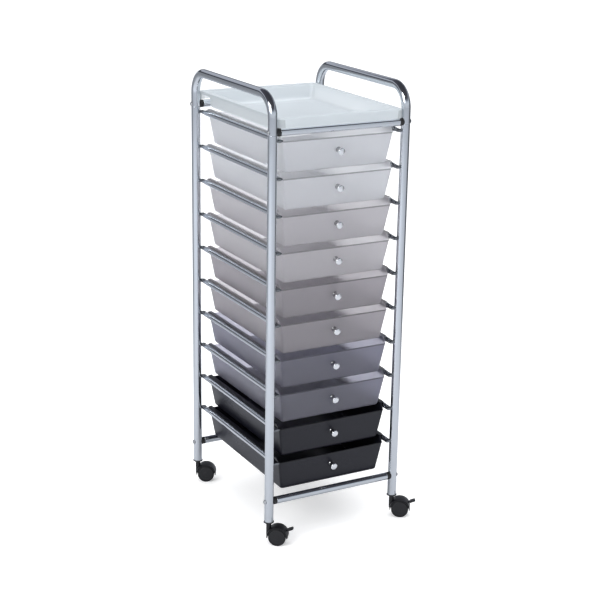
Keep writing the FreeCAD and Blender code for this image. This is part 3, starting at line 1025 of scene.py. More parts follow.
@dataclass
class TubeFrame:
    """Posts, hoop handles, rungs, crossbars, their plugs and bolts.

    Args:
        places: where the nodes stand.
        tube_radius: the outer radius of posts and handles.
        tube_wall: the tubes' wall.
        bend: the radius of the handles' bends.
        lip: the size of a tube's broken edge.
        bar_radius: the outer radius of the crossbars.
        plug_collar: how far a plug keeps its bar from the post.
        plug_radius: the radius of its collar.
        rung_radius: the outer radius of the rungs.
        pinch_start: how far from the middle a rung's pinch begins.
        pinch_end: how far from the middle it is full.
        tip_end: how far from the middle the rung ends.
        pinch_half_width: half the width of the pinched tip.
        pinch_half_height: half its height.
        pinch_shift: how far it stands out towards the posts.
        rung_marks: the sections of a rung's plain length, by their distance from the middle.
        past_pinch: the distance of the section between pinch and tip.
        tip_round: how far before its end the tip begins to round off.
        tip_flat: how far before its end the last section lies.
        tip_cut: how much the rounding takes off.
        bead: the thickness of a weld.
        bead_reach: where a weld starts and ends, along the rung from the post's middle.
        bead_wave: how much its thickness waves.
        bead_marks: how many sections it has.
        rung_count: how many rungs a side has.
        groove: the depth of a plug's groove.
        saddle: how far a plug's end reaches into the post's round.
        socket: half the width of a bolt's six-sided socket.
        hub: the radius where a plug's turned outline starts and ends.
        steps: points round a tube.
        rung_steps: points round a rung.
        bead_steps: points round a weld.
        plug_steps: points round a plug.
        bolt_steps: points round a bolt head.
    """

    places: Places
    tube_radius: float = 9.5 * MM
    tube_wall: float = 1.0 * MM
    bend: float = 45.0 * MM
    lip: float = 0.45 * MM
    bar_radius: float = 8.0 * MM
    plug_collar: float = 6.5 * MM
    plug_radius: float = 8.1 * MM
    rung_radius: float = 6.35 * MM
    pinch_start: float = 152.5 * MM
    pinch_end: float = 168.5 * MM
    tip_end: float = 182.0 * MM
    pinch_half_width: float = 7.4 * MM
    pinch_half_height: float = 3.2 * MM
    pinch_shift: float = 1.2 * MM
    rung_marks: tuple[float, ...] = (0.0, 70.0 * MM, 130.0 * MM)
    past_pinch: float = 175.0 * MM
    tip_round: float = 1.2 * MM
    tip_flat: float = 0.1 * MM
    tip_cut: float = 0.9 * MM
    bead: float = 0.8 * MM
    bead_reach: tuple[float, float] = (-5.6 * MM, 3.4 * MM)
    bead_wave: float = 0.12
    bead_marks: int = 13
    rung_count: int = DRAWER_COUNT
    groove: float = 0.35 * MM
    saddle: float = 2.5 * MM
    socket: float = 1.55 * MM
    hub: float = 0.1 * MM
    steps: int = 56
    rung_steps: int = 40
    bead_steps: int = 8
    plug_steps: int = 40
    bolt_steps: int = 48

    # The bolt head's rings from its socket's floor, over the dome, to its foot. Each is the share
    # of the hexagon in its radius, the round rest of it and its reach, both in millimetres.
    bolt_rings: tuple[tuple[float, float, float], ...] = (
        (0.0, 0.2, 1.5), (0.96, 0.0, 1.5), (1.0, 0.0, 1.7), (1.0, 0.2, 3.2), (0.0, 2.6, 2.95),
        (0.0, 3.7, 2.35), (0.0, 4.5, 1.6), (0.0, 4.9, 0.95), (0.0, 5.0, 0.5), (0.0, 4.95, 0.15),
        (0.0, 0.2, 0.1))

    def post(self, side: int, end: int) -> Surface:
        """A corner post up to the handle joint.

        Args:
            side: -1 for a left post and 1 for a right one.
            end: -1 for a front post and 1 for a rear one.

        Returns:
            The post's surface.
        """
        x, y = self.places.corner(side, end)
        return straight_pipe((x, y, self.places.foot), (x, y, self.places.handle_foot),
                             self.tube_radius, self.tube_wall, self.lip, self.steps)

    def handle(self, side: int) -> Surface:
        """A hoop handle: legs, quarter bends and grip on one middle line.

        The middle line runs up the front leg, round a quarter circle, back along the
        grip, round again and down the rear leg.

        Args:
            side: -1 for the left handle and 1 for the right one.

        Returns:
            The handle's surface.
        """
        x = self.places.left if side < 0 else self.places.right
        front, rear = self.places.front, self.places.rear
        top = self.places.handle_top - self.tube_radius
        foot, spring = self.places.handle_foot, top - self.bend
        marks, depths = foot + self.lip * LIP_MARK_SHARES, self.lip * LIP_DEPTH_SHARES
        still = len(marks)
        quarter = np.linspace(0.0, math.pi / 2, 19)
        grip = np.linspace(front + self.bend, rear - self.bend, 9)[1:-1]
        run_y = np.concatenate((
            np.full(still, front), front + self.bend * (1 - np.cos(quarter)), grip,
            rear - self.bend * (1 - np.sin(quarter)), np.full(still, rear)))
        run_z = np.concatenate((
            marks, spring + self.bend * np.sin(quarter), np.full(len(grip), top),
            spring + self.bend * np.cos(quarter), marks[::-1]))
        slope_y = np.concatenate((np.zeros(still), np.sin(quarter), np.ones(len(grip)),
                                  np.cos(quarter), np.zeros(still)))
        slope_z = np.concatenate((np.ones(still), np.cos(quarter), np.zeros(len(grip)),
                                  -np.sin(quarter), -np.ones(still)))
        count = len(run_y)
        centres = np.column_stack((np.full(count, x), run_y, run_z))
        along = np.column_stack((np.zeros(count), slope_y, slope_z))
        side_way = np.tile(X_WAY, (count, 1))
        across = np.cross(along, side_way)
        outer = self.tube_radius - np.concatenate((depths, np.zeros(count - 2 * still), depths[::-1]))
        return pipe(centres, side_way, across, outer, self.tube_radius - self.tube_wall, self.steps)

    def rung(self, height: float) -> Surface:
        """The right-hand rung: round in the middle, pinched to an oval tip at both ends.

        A section is an ellipse of half width a and half height b, and both go from the
        tube's radius to the tip's sizes by a smooth step over the pinched length.

        Args:
            height: the height of its middle line.

        Returns:
            The rung's surface.
        """
        tip_marks = self.tip_end - np.array([self.tip_round, 0.5 * MM, self.tip_flat])
        half = np.concatenate((self.rung_marks, np.linspace(self.pinch_start, self.pinch_end, 17),
                               [self.past_pinch], tip_marks))
        y = np.concatenate((-half[:0:-1], half))
        share = smooth_step((np.abs(y) - self.pinch_start) / (self.pinch_end - self.pinch_start))
        run = (np.abs(y) - (self.tip_end - self.tip_round)) / (self.tip_round - self.tip_flat)
        ease = np.clip(run, 0.0, 1.0) ** 2 * self.tip_cut
        wide = self.rung_radius + share * (self.pinch_half_width - self.rung_radius) - ease
        tall = self.rung_radius + share * (self.pinch_half_height - self.rung_radius) - ease
        x = self.places.right - self.tube_radius - self.rung_radius + share * self.pinch_shift
        angle = turns(self.rung_steps)[None, :]
        rings = np.stack((
            x[:, None] + wide[:, None] * np.sin(angle),
            np.broadcast_to(y[:, None] + self.places.middle[1], (len(y), angle.shape[1])),
            height + tall[:, None] * np.cos(angle)), -1)
        return shell(rings)

    def beads(self, height: float) -> Surface:
        """The welds that join a right-hand rung's tips to the posts.

        Each follows the crossing of the oval tip with the post: x is the post's inner
        surface at y, and z is the oval's height at that x.

        Args:
            height: the height of the rung's middle line.

        Returns:
            The four welds' surface.
        """
        count, middle_y = self.bead_marks, self.places.middle[1]
        offset = np.linspace(*self.bead_reach, count)
        x = self.places.right - np.sqrt(self.tube_radius ** 2 - offset ** 2)
        middle = self.places.right - self.tube_radius - self.rung_radius + self.pinch_shift
        lift = self.pinch_half_height * np.sqrt(
            np.clip(1 - ((x - middle) / self.pinch_half_width) ** 2, 0.0, 1.0))
        swell = self.bead * np.sqrt(np.clip(1 - np.linspace(-1, 1, count) ** 2, 0.02, 1.0))
        swell = swell * (1 + self.bead_wave * np.sin(np.arange(count) * 2.1))
        angle = turns(self.bead_steps)[None, :]
        made = []
        for end in (-1, 1):
            for up in (-1, 1):
                y = middle_y + end * (self.places.rear - middle_y + offset)
                rings = np.stack((
                    x[:, None] - swell[:, None] * np.cos(angle) * end,
                    np.broadcast_to(y[:, None], (count, angle.shape[1])),
                    height + up * lift[:, None] + swell[:, None] * np.sin(angle)), -1)
                made.append(shell(rings))
        return joined(made)

    def rungs(self, side: int) -> Surface:
        """All the rungs of one side with their welds.

        Args:
            side: -1 for the left side and 1 for the right one.

        Returns:
            Their surface.
        """
        low = self.places.rung_low + self.rung_radius
        high = self.places.rung_high - self.rung_radius
        one = self.rung(low) + self.beads(low)
        every = joined(one.moved((0.0, 0.0, rise)) for rise in np.linspace(0.0, high - low, self.rung_count))
        return every if side > 0 else every.mirrored(self.places.middle, 0)

    def crossbars(self, height: float) -> Surface:
        """The front and rear crossbars of one level.

        Args:
            height: the height of their middle lines.

        Returns:
            Their surface.
        """
        reach = self.tube_radius + self.plug_collar
        return joined(
            straight_pipe((self.places.left + reach, y, height), (self.places.right - reach, y, height),
                          self.bar_radius, self.tube_wall, self.lip, self.steps)
            for y in (self.places.front, self.places.rear))

    def plug(self, side: int, end: int, height: float) -> Surface:
        """One black end plug: a collar with a broken rim, a groove and a saddle end.

        Args:
            side: -1 for the left posts and 1 for the right ones.
            end: -1 for the front posts and 1 for the rear ones.
            height: the height of the crossbar's middle line.

        Returns:
            The plug's surface.
        """
        x, y = self.places.corner(side, end)
        full, groove = self.plug_radius, self.plug_radius - self.groove
        saddle = self.plug_collar + self.saddle
        profile = np.array([
            (self.hub, 0.3 * MM), (full - 0.8 * MM, 0.3 * MM), (full - 0.2 * MM, 0.15 * MM),
            (full, 0.6 * MM), (full, 2.2 * MM), (groove, 2.5 * MM), (groove, 2.9 * MM),
            (full, 3.2 * MM), (full, saddle - 0.8 * MM), (full - 0.4 * MM, saddle), (self.hub, saddle)])
        start = x - side * (self.tube_radius + self.plug_collar)
        return lathe(profile, (start, y, height), (side, 0, 0), self.plug_steps)

    def bolt(self, side: int, end: int, height: float) -> Surface:
        """One bolt head: a dome with a six-sided socket.

        Rings of the socket lie at r = flat / cos(angle to the nearest flat's middle).

        Args:
            side: -1 for the left posts and 1 for the right ones.
            end: -1 for the front posts and 1 for the rear ones.
            height: the height of the crossbar's middle line.

        Returns:
            The bolt head's surface.
        """
        x, y = self.places.corner(side, end)
        start = np.array([x + side * (self.tube_radius - 0.2 * MM), y, height])
        axis = np.array([side, 0.0, 0.0])
        across, other = square_pair(axis)
        angle = turns(self.bolt_steps)
        sixth = math.tau / 6
        hexagon = self.socket / np.cos((angle % sixth) - sixth / 2)
        outward = np.cos(angle)[:, None] * across + np.sin(angle)[:, None] * other
        rings = np.stack([
            start + reach * MM * axis + (hexagon * share + rest * MM)[:, None] * outward
            for share, rest, reach in self.bolt_rings])
        return shell(rings[::-1])

    def build(self, chrome: bpy.types.Material, rung_chrome: bpy.types.Material,
              black: bpy.types.Material, steel: bpy.types.Material) -> None:
        """Makes every piece of the tube frame.

        Args:
            chrome: the tubes' finish.
            rung_chrome: the rungs' finish.
            black: the plugs' finish.
            steel: the bolts' finish.
        """
        corners = [(side, end) for side in SIDES for end in ENDS]
        for side, end in corners:
            node = "%s_%s_post" % (SIDES[side], ENDS[end])
            Piece.make(node + "_tube", self.post(side, end), "frame", "chromed_tube", chrome, [node])
        for side, word in SIDES.items():
            Piece.make(word + "_hoop", self.handle(side), "frame", "chromed_tube", chrome,
                       [word + "_handle"])
            Piece.make(word + "_rung_set", self.rungs(side), "frame", "chromed_tube", rung_chrome,
                       [word + "_rungs"])
        levels = {"top": self.places.top_bar, "bottom": self.places.low_bar}
        for word, height in levels.items():
            Piece.make(word + "_crossbar_pair", self.crossbars(height), "frame", "chromed_tube", chrome,
                       [word + "_crossbars"])
        Piece.make("crossbar_plug_set",
                   joined(self.plug(side, end, height) for height in levels.values()
                          for side, end in corners),
                   "frame", "black_plug", black, ["crossbar_plugs"])
        Piece.make("crossbar_bolt_set",
                   joined(self.bolt(side, end, height) for height in levels.values()
                          for side, end in corners),
                   "frame", "bright_steel", steel, ["crossbar_bolts"])


@dataclass
class DrawerSet:
    """The ten drawers with their knobs.

    Args:
        places: where the nodes stand.
        half_width: half the width over the side walls, at the flanges' height.
        front: how far before the posts' middle the front wall stands there.
        rear: how far behind it the rear wall stands.
        draft_deg: how far the walls lean in, in degrees.
        corner: the radius of the corners in plan.
        edge: the radius of the floor's outer edge.
        wall: the walls' thickness.
        floor: the floor's thickness.
        flange: the flanges' thickness.
        flange_edge: how far from the middle the flanges reach.
        flange_round: the radius of the flanges' ends in plan.
        rim: how far the front and rear rims stand out.
        dip: how far these rims lie below the flanges.
        shelf: how far they go on along the sides.
        ramp: how long the rise from them to the flanges is.
        knob_drop: how far below the flanges a knob sits.
        dense_shade_from_x: how far from the middle the flanges with painted shade and a denser look begin.
        dense_shade_from_y: how far from the middle the end walls with painted shade and a denser look begin.
        dense_shade_rim: how much of an end wall's height has the painted shade and denser look.
        dense_shade_share: how much of the colour these places keep.
        knob_steps: points round a knob.
    """

    places: Places
    half_width: float = 127.4 * MM
    front: float = -176.0 * MM
    rear: float = 173.0 * MM
    draft_deg: float = 8.5
    corner: float = 5.0 * MM
    edge: float = 5.0 * MM
    wall: float = 2.0 * MM
    floor: float = 2.2 * MM
    flange: float = 1.6 * MM
    flange_edge: float = 136.5 * MM
    flange_round: float = 6.0 * MM
    rim: float = 0.45 * MM
    dip: float = 10.9 * MM
    shelf: float = 4.0 * MM
    ramp: float = 12.0 * MM
    knob_drop: float = 37.0 * MM
    dense_shade_from_x: float = 127.8 * MM
    dense_shade_from_y: float = 171.5 * MM
    dense_shade_rim: float = 2.6 * MM
    dense_shade_share: float = 0.30
    knob_steps: int = 44

    # The raised panel of the floor, from below and from inside, as (inset, rise) in millimetres
    under_panel: tuple[tuple[float, float], ...] = (
        (26.0, 0.9), (25.0, 0.9), (24.3, 0.5), (23.6, 0.1), (23.0, 0.0), (6.0, 0.0))
    inner_panel: tuple[tuple[float, float], ...] = (
        (23.0, 0.0), (23.8, 0.15), (24.9, 0.75), (25.6, 0.9), (27.0, 0.9))
    # The flange's edge as (share of its thickness below the top, millimetres short of its reach)
    flange_nose: tuple[tuple[float, float], ...] = (
        (1.0, 0.42), (0.93, 0.16), (0.72, 0.0), (0.28, 0.0), (0.07, 0.16), (0.0, 0.42))
    # The knob's outline as (radius, reach) in millimetres: foot, waist and head, then the dish
    knob_body: tuple[tuple[float, float], ...] = (
        (0.1, 0.02), (5.5, 0.02), (5.75, 0.3), (5.8, 0.9), (5.55, 1.6), (5.0, 2.3), (4.8, 3.4),
        (4.8, 6.2), (4.95, 7.4), (5.5, 8.6), (6.3, 9.8), (7.0, 10.9), (7.4, 12.0), (7.5, 13.2))
    knob_dish: tuple[tuple[float, float], ...] = ((1.7, 17.25), (0.9, 17.28), (0.1, 17.3))

    @property
    def draft(self) -> float:
        """How far the walls lean in for each unit of depth."""
        return math.tan(math.radians(self.draft_deg))

    def ring(self) -> RoundedRing:
        """Lays out the drawer's ring of points, crowded where the walls dip.

        Returns:
            The ring.
        """
        near = np.linspace(0.004, 0.085, 26)
        middle = np.linspace(0.12, 0.88, 9)
        return RoundedRing(corner_steps=9, long_marks=np.concatenate((near, middle, 1 - near[::-1])),
                           short_marks=np.linspace(0.0, 1.0, 9)[1:-1])

    def surface(self, top: float, bottom: float) -> Surface:
        """One drawer as a closed skin from the outer floor, over the rim, to the inner floor.

        The wall leans in by the draft for each unit of depth. The rim's height and the
        flange's reach are functions of how far along the side a point is.

        Args:
            top: the height of the flange's top.
            bottom: the height of the outer floor.

        Returns:
            The drawer's surface.
        """
        ring = self.ring()
        low = (-self.half_width, self.front)
        high = (self.half_width, self.rear)
        nominal = ring.at(low, high, 0.0, self.corner)
        from_end = np.minimum(nominal[:, 1] - self.front, self.rear - nominal[:, 1])
        on_side = np.abs(ring.outward[:, 0]) > 0.999
        rise = np.clip((from_end - self.shelf) / self.ramp, 0.0, 1.0) * on_side
        rim_top = top - self.dip * (1 - rise)
        along = np.clip((from_end - self.shelf - self.ramp) / self.flange_round, 0.0, 1.0) * on_side
        full = self.flange_edge - self.half_width
        reach = self.rim + (full - self.rim) * np.sqrt(1 - (1 - along) ** 2)

        def at(height: Array | float, inset: float, radius: float, out: Array | float = 0.0) -> Array:
            """One ring, drawn in by the draft and an inset.

            Args:
                height: its height, or one for each point.
                inset: how far it is drawn in besides the draft.
                radius: the radius of its corners.
                out: how far each point is then pushed outwards.

            Returns:
                The ring's points.
            """
            heights = np.broadcast_to(np.asarray(height, float), (len(ring),))
            plan = ring.at(low, high, (top - heights) * self.draft + inset, radius, out)
            return ring_at(plan, heights)

        rings = [at(bottom + rise * MM, inset * MM, self.corner) for inset, rise in self.under_panel]
        rings += [at(bottom + self.edge * rise, self.edge * inset, self.corner)
                  for rise, inset in quarter_turn(8)]
        under, foot = rim_top - self.flange, bottom + self.edge
        for share in (0.12, 0.5, 0.92, 1.0):
            rings.append(at(foot + share * (under - 0.6 * MM - foot), 0.0, self.corner))
        rings.append(at(under - 0.15 * MM, 0.0, self.corner, 0.12 * MM))
        for drop, back in self.flange_nose:
            rings.append(at(rim_top - self.flange * drop, 0.0, self.corner,
                            np.maximum(reach - back * MM, 0.14 * MM)))
        rings.append(at(rim_top, 0.5 * self.wall, self.corner - 0.5 * self.wall))
        inner, ease = self.corner - self.wall, 0.35 * MM
        rings.append(at(rim_top - 0.05 * MM, self.wall - ease, inner + ease))
        rings.append(at(rim_top - 0.4 * MM, self.wall, inner))
        below_rim = rim_top - 1.0 * MM
        ground, curve = bottom + self.floor, self.edge - self.wall
        for share in (0.0, 0.5, 0.9, 1.0):
            rings.append(at(below_rim * (1 - share) + (ground + curve) * share, self.wall, inner))
        rings += [at(ground + curve * rise, self.wall + curve * inset, inner)
                  for rise, inset in quarter_turn(7)[-2::-1]]
        rings += [at(ground + rise * MM, inset * MM, inner) for inset, rise in self.inner_panel]
        return shell(np.stack(rings)).moved(self.places.middle)

    def knob(self, top: float) -> Surface:
        """A chromed knob: a flared foot, a waist and a mushroom head with a shallow dish.

        The crown is a quarter of an ellipse between the head's rim and the dish.

        Args:
            top: the height of its drawer's flanges.

        Returns:
            The knob's surface.
        """
        x, y = self.places.middle[:2]
        seat = (x, y + self.front + self.knob_drop * self.draft, top - self.knob_drop)
        lean = math.radians(self.draft_deg)
        axis = (0.0, -math.cos(lean), -math.sin(lean))
        head, shoulder, crown_rise, crown_turn = 7.5, 14.6, 2.6, 1.25
        angle = np.linspace(0.0, crown_turn, 9)
        crown = np.column_stack((head * np.cos(angle), shoulder + crown_rise * np.sin(angle)))
        profile = np.concatenate((self.knob_body, crown, self.knob_dish)) * MM
        return lathe(profile, seat, axis, self.knob_steps)

    def build(self, chrome: bpy.types.Material) -> None:
        """Makes the drawers and knobs.

        Args:
            chrome: the knobs' finish.
        """
        tones = [tone for tone in Tone for _ in range(DRAWER_COUNT // len(Tone))]
        for number, tone in enumerate(tones, 1):
            body = "drawer_%d" % number
            low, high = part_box(body)
            # Painted shade: each drawer's plastic darkens its flanges and end-wall rims over the rungs;
            # partly the plastic's denser look.
            plastic = replace(tone.value, middle=self.places.middle[:2], flange=self.dense_shade_from_x,
                              ends=self.dense_shade_from_y, rim=high.z - self.dip - self.dense_shade_rim,
                              density_and_shade=self.dense_shade_share).build()
            Piece.make(body + "_tub", self.surface(high.z, low.z), body, tone.slot, plastic, [body],
                       sharp_deg=40.0)
            Piece.make("knob_%d_head" % number, self.knob(high.z), body, "knob_chrome", chrome,
                       ["knob_%d" % number])


@dataclass
class TopTray:
    """The lift-off tray: a rim with front and rear aprons round a shallow well.

    Args:
        places: where the nodes stand.
        edge_x: half the rim's width.
        edge_y: half its length.
        corner: the radius of its corners.
        wall: the thickness of walls and floor.
        lip: how far the rim hangs down at the sides.
        well_x: half the well's width, at its outer faces.
        well_y: half its length.
        well_corner: the radius of its corners.
        floor_inset: how far its walls lean in over their whole depth.
        fillet: the radius of the floor's outer edge.
        apron_rise: how far above the top crossbars' middle lines the aprons end.
        step_start: how far before the rim's corners the step to the aprons begins.
        step_run: how long the step is.
        inner_edge: the rounding of the rim's inner edge.
        outer_edge: the rounding of its outer edge.
        foot_edge: the rounding of its foot.
        side_from: how far from the middle the outer sides with painted shade begin.
    """

    places: Places
    edge_x: float = 141.2 * MM
    edge_y: float = 186.0 * MM
    corner: float = 12.0 * MM
    wall: float = 2.0 * MM
    lip: float = 6.5 * MM
    well_x: float = 129.2 * MM
    well_y: float = 169.0 * MM
    well_corner: float = 14.0 * MM
    floor_inset: float = 3.0 * MM
    fillet: float = 8.0 * MM
    apron_rise: float = 8.3 * MM
    step_start: float = 3.0 * MM
    step_run: float = 6.0 * MM
    inner_edge: float = 1.5 * MM
    outer_edge: float = 1.8 * MM
    foot_edge: float = 0.3 * MM
    side_from: float = 140.0 * MM

    # The raised panel of the floor as (inset, rise) in millimetres
    inner_panel: tuple[tuple[float, float], ...] = ((31.0, 0.6), (29.5, 0.6), (28.8, 0.3), (28.0, 0.0))

    def surface(self, top: float, bottom: float, apron: float) -> Surface:
        """The tray as a closed skin from its inner floor, over the rim and under, to its outer floor.

        The apron's foot follows the ring: low at the front and rear, and at the lip's
        height along the sides, with a smooth step at the corners.

        Args:
            top: the rim's height.
            bottom: the outer floor's height.
            apron: the aprons' foot.

        Returns:
            The tray's surface.
        """
        near = np.linspace(0.0, 0.06, 13)[1:]
        middle = np.linspace(0.1, 0.9, 11)
        ring = RoundedRing(corner_steps=12, long_marks=np.concatenate((near, middle, 1 - near[::-1])),
                           short_marks=np.linspace(0.0, 1.0, 11)[1:-1])
        outer = ((-self.edge_x, -self.edge_y), (self.edge_x, self.edge_y))
        well = ((-self.well_x, -self.well_y), (self.well_x, self.well_y))
        plan = ring.at(*outer, 0.0, self.corner)
        past = (np.abs(plan[:, 1]) - (self.edge_y - self.corner - self.step_start)) / self.step_run
        foot = (top - self.lip) + (apron - (top - self.lip)) * smooth_step(past)

        def rim(height: Array | float, inset: float) -> Array:
            """A ring of the outer rim."""
            return ring_at(ring.at(*outer, inset, self.corner - inset), height)

        def pit(height: float, inset: float) -> Array:
            """A ring of the well's wall, leaning in towards the floor."""
            lean = self.floor_inset * (top - height) / (top - bottom)
            return ring_at(ring.at(*well, inset + lean, max(self.well_corner - inset, 2.0 * MM)), height)

        ground, curve = bottom + self.wall, self.fillet - self.wall
        rings = [pit(ground + rise * MM, inset * MM) for inset, rise in self.inner_panel]
        rings += [pit(ground + curve * rise, self.wall + curve * inset) for rise, inset in quarter_turn(9)]
        for height in (ground + curve + 6.0 * MM, top - 6.0 * MM, top - 2.2 * MM):
            rings.append(pit(height, self.wall))
        rings += [pit(top - self.inner_edge * drop, self.wall - self.inner_edge * outset)
                  for outset, drop in quarter_turn(6)[1:]]
        rings += [rim(top, 8.0 * MM), rim(top, 2.6 * MM)]
        rings += [rim(top - self.outer_edge * drop, self.outer_edge * inset)
                  for drop, inset in quarter_turn(7)]
        for share in (0.45, 0.9):
            rings.append(rim((top - self.outer_edge) * (1 - share) + foot * share, 0.0))
        under = top - self.wall
        rings += [rim(foot + 0.25 * MM, 0.0), rim(foot, self.foot_edge),
                  rim(foot, self.wall - self.foot_edge), rim(foot + self.foot_edge, self.wall),
                  rim(under - 0.4 * MM, self.wall), rim(under, self.wall + 0.4 * MM),
                  rim(under, self.wall + 2.0 * MM), pit(under, -0.6 * MM), pit(under - 0.6 * MM, 0.0)]
        rings += [pit(bottom + self.fillet * rise, self.fillet * inset)
                  for rise, inset in quarter_turn(9)[::-1]]
        rings.append(pit(bottom, 30.0 * MM))
        return shell(np.stack(rings)[::-1]).moved(self.places.middle)

    def build(self) -> None:
        """Makes the tray and its plastic from its node's box."""
        low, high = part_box("top_tray")
        # Painted shade: the tray's outer sides keep only 0.70 of its colour.
        plastic = TrayPlastic(
            "tray_white", (0.220, 0.239, 0.254), clearness=0.0, rough=0.46, glow=0.85, lift=1.18,
            middle=self.places.middle[:2], flange=self.side_from, density_and_shade=0.70,
            well=(self.well_x, self.well_y), top=high.z, lean=self.floor_inset / (high.z - low.z)).build()
        apron = self.places.top_bar + self.apron_rise
        Piece.make("top_tray_shell", self.surface(high.z, low.z, apron), "tray", "tray_white", plastic,
                   ["top_tray"], sharp_deg=40.0)


@dataclass
class Casters:
    """The four casters: wheels turned anew about the record's joints, the rest dressed.

    Args:
        joints: the record's joints.
        web: the thickness of a hood's web between its wheels.
        gap: the gap between the web and a wheel.
        hood_edge: the edge rounding of hoods and levers.
        stem_edge: the edge rounding of the stems.
        socket_edge: the edge rounding of the sockets.
        steps: points round a wheel.
    """

    joints: list[dict[str, Any]]
    web: float = 8.0 * MM
    gap: float = 0.4 * MM
    hood_edge: float = 0.5 * MM
    stem_edge: float = 0.2 * MM
    socket_edge: float = 0.4 * MM
    steps: int = 72

    def wheel_profile(self) -> Array:
        """Radius and reach of one wheel from its inner face to the middle of its cover.

        The tread is slightly crowned, and the cover has a raised rim, a groove, a dished
        web and a low hub cap.

        Returns:
            Rows of (radius, reach).
        """
        return np.array([
            (2.6, 0.0), (6.0, 0.0), (6.3, 0.25), (15.8, 0.25), (16.2, 0.0), (17.4, 0.0), (18.0, 0.2),
            (18.45, 0.6), (18.68, 1.2), (18.77, 2.2), (18.8, 4.7), (18.77, 7.2), (18.68, 8.2),
            (18.45, 8.8), (18.0, 9.2), (17.4, 9.4), (16.5, 9.4), (16.2, 9.28), (16.05, 8.9), (15.9, 8.7),
            (15.6, 8.72), (15.3, 8.9), (15.0, 8.98), (12.0, 8.88), (8.4, 8.82), (5.7, 8.86), (5.3, 8.9),
            (5.1, 9.1), (4.8, 9.26), (3.6, 9.34), (1.6, 9.38), (0.1, 9.4)]) * MM

    def wheels(self, name: str) -> Surface:
        """Both wheels of one caster, placed by their own joint.

        Args:
            name: the caster's corner, such as left_front.

        Returns:
            The pair's surface.
        """
        joint = next(each for each in self.joints if each["name"] == name + "_wheels_roll")
        middle = np.array(joint["pos_m"], float)
        axis = unit(joint["axis"])
        made = []
        for sign in (-1, 1):
            start = middle + sign * axis * (self.web / 2 + self.gap)
            made.append(lathe(self.wheel_profile(), start, sign * axis, self.steps))
        return joined(made)

    def build(self, nodes: dict[str, bpy.types.Object], wheel: bpy.types.Material,
              hood: bpy.types.Material, steel: bpy.types.Material,
              plug: bpy.types.Material) -> None:
        """Makes the wheels and dresses the hoods, levers, axles, stems and sockets.

        Args:
            nodes: the CAD nodes by name.
            wheel: the wheels' finish.
            hood: the hoods' and levers' finish.
            steel: the axles' and stems' finish.
            plug: the sockets' finish.
        """
        for side in SIDES.values():
            for end in ENDS.values():
                name = "%s_%s" % (side, end)
                Piece.make(name + "_wheel_pair", self.wheels(name), name + "_wheels", "wheel_black",
                           wheel, [name + "_caster_wheels"], sharp_deg=35.0)
                Piece.dress(nodes[name + "_caster_hood"], hood, self.hood_edge)
                Piece.dress(nodes[name + "_caster_axle"], steel)
                if end == "front":
                    Piece.dress(nodes[name + "_brake_lever"], hood, self.hood_edge)
        Piece.dress(nodes["caster_stems"], steel, self.stem_edge)
        Piece.dress(nodes["caster_sockets"], plug, self.socket_edge)


# The studio


@dataclass(frozen=True)
class Lamp:
    """A square soft light.

    Args:
        name: the light's name.
        place: where it hangs.
        size: its side, in metres.
        power: its power, in watts.
        glossy: whether mirrors show it.
    """

    name: str
    place: tuple[float, float, float]
    size: float
    power: float
    glossy: bool

    def hang(self, target: Vector) -> None:
        """Hangs the lamp in its place.

        Args:
            target: the point that it faces.
        """
        data = bpy.data.lights.new(self.name, "AREA")
        data.size = self.size
        data.energy = self.power
        lamp = bpy.data.objects.new(self.name, data)
        lamp.location = Vector(self.place)
        lamp.rotation_mode = "QUATERNION"
        lamp.rotation_quaternion = (target - Vector(self.place)).to_track_quat("-Z", "Y")
        lamp.visible_glossy = self.glossy
        lamp.visible_camera = False
        bpy.context.scene.collection.objects.link(lamp)


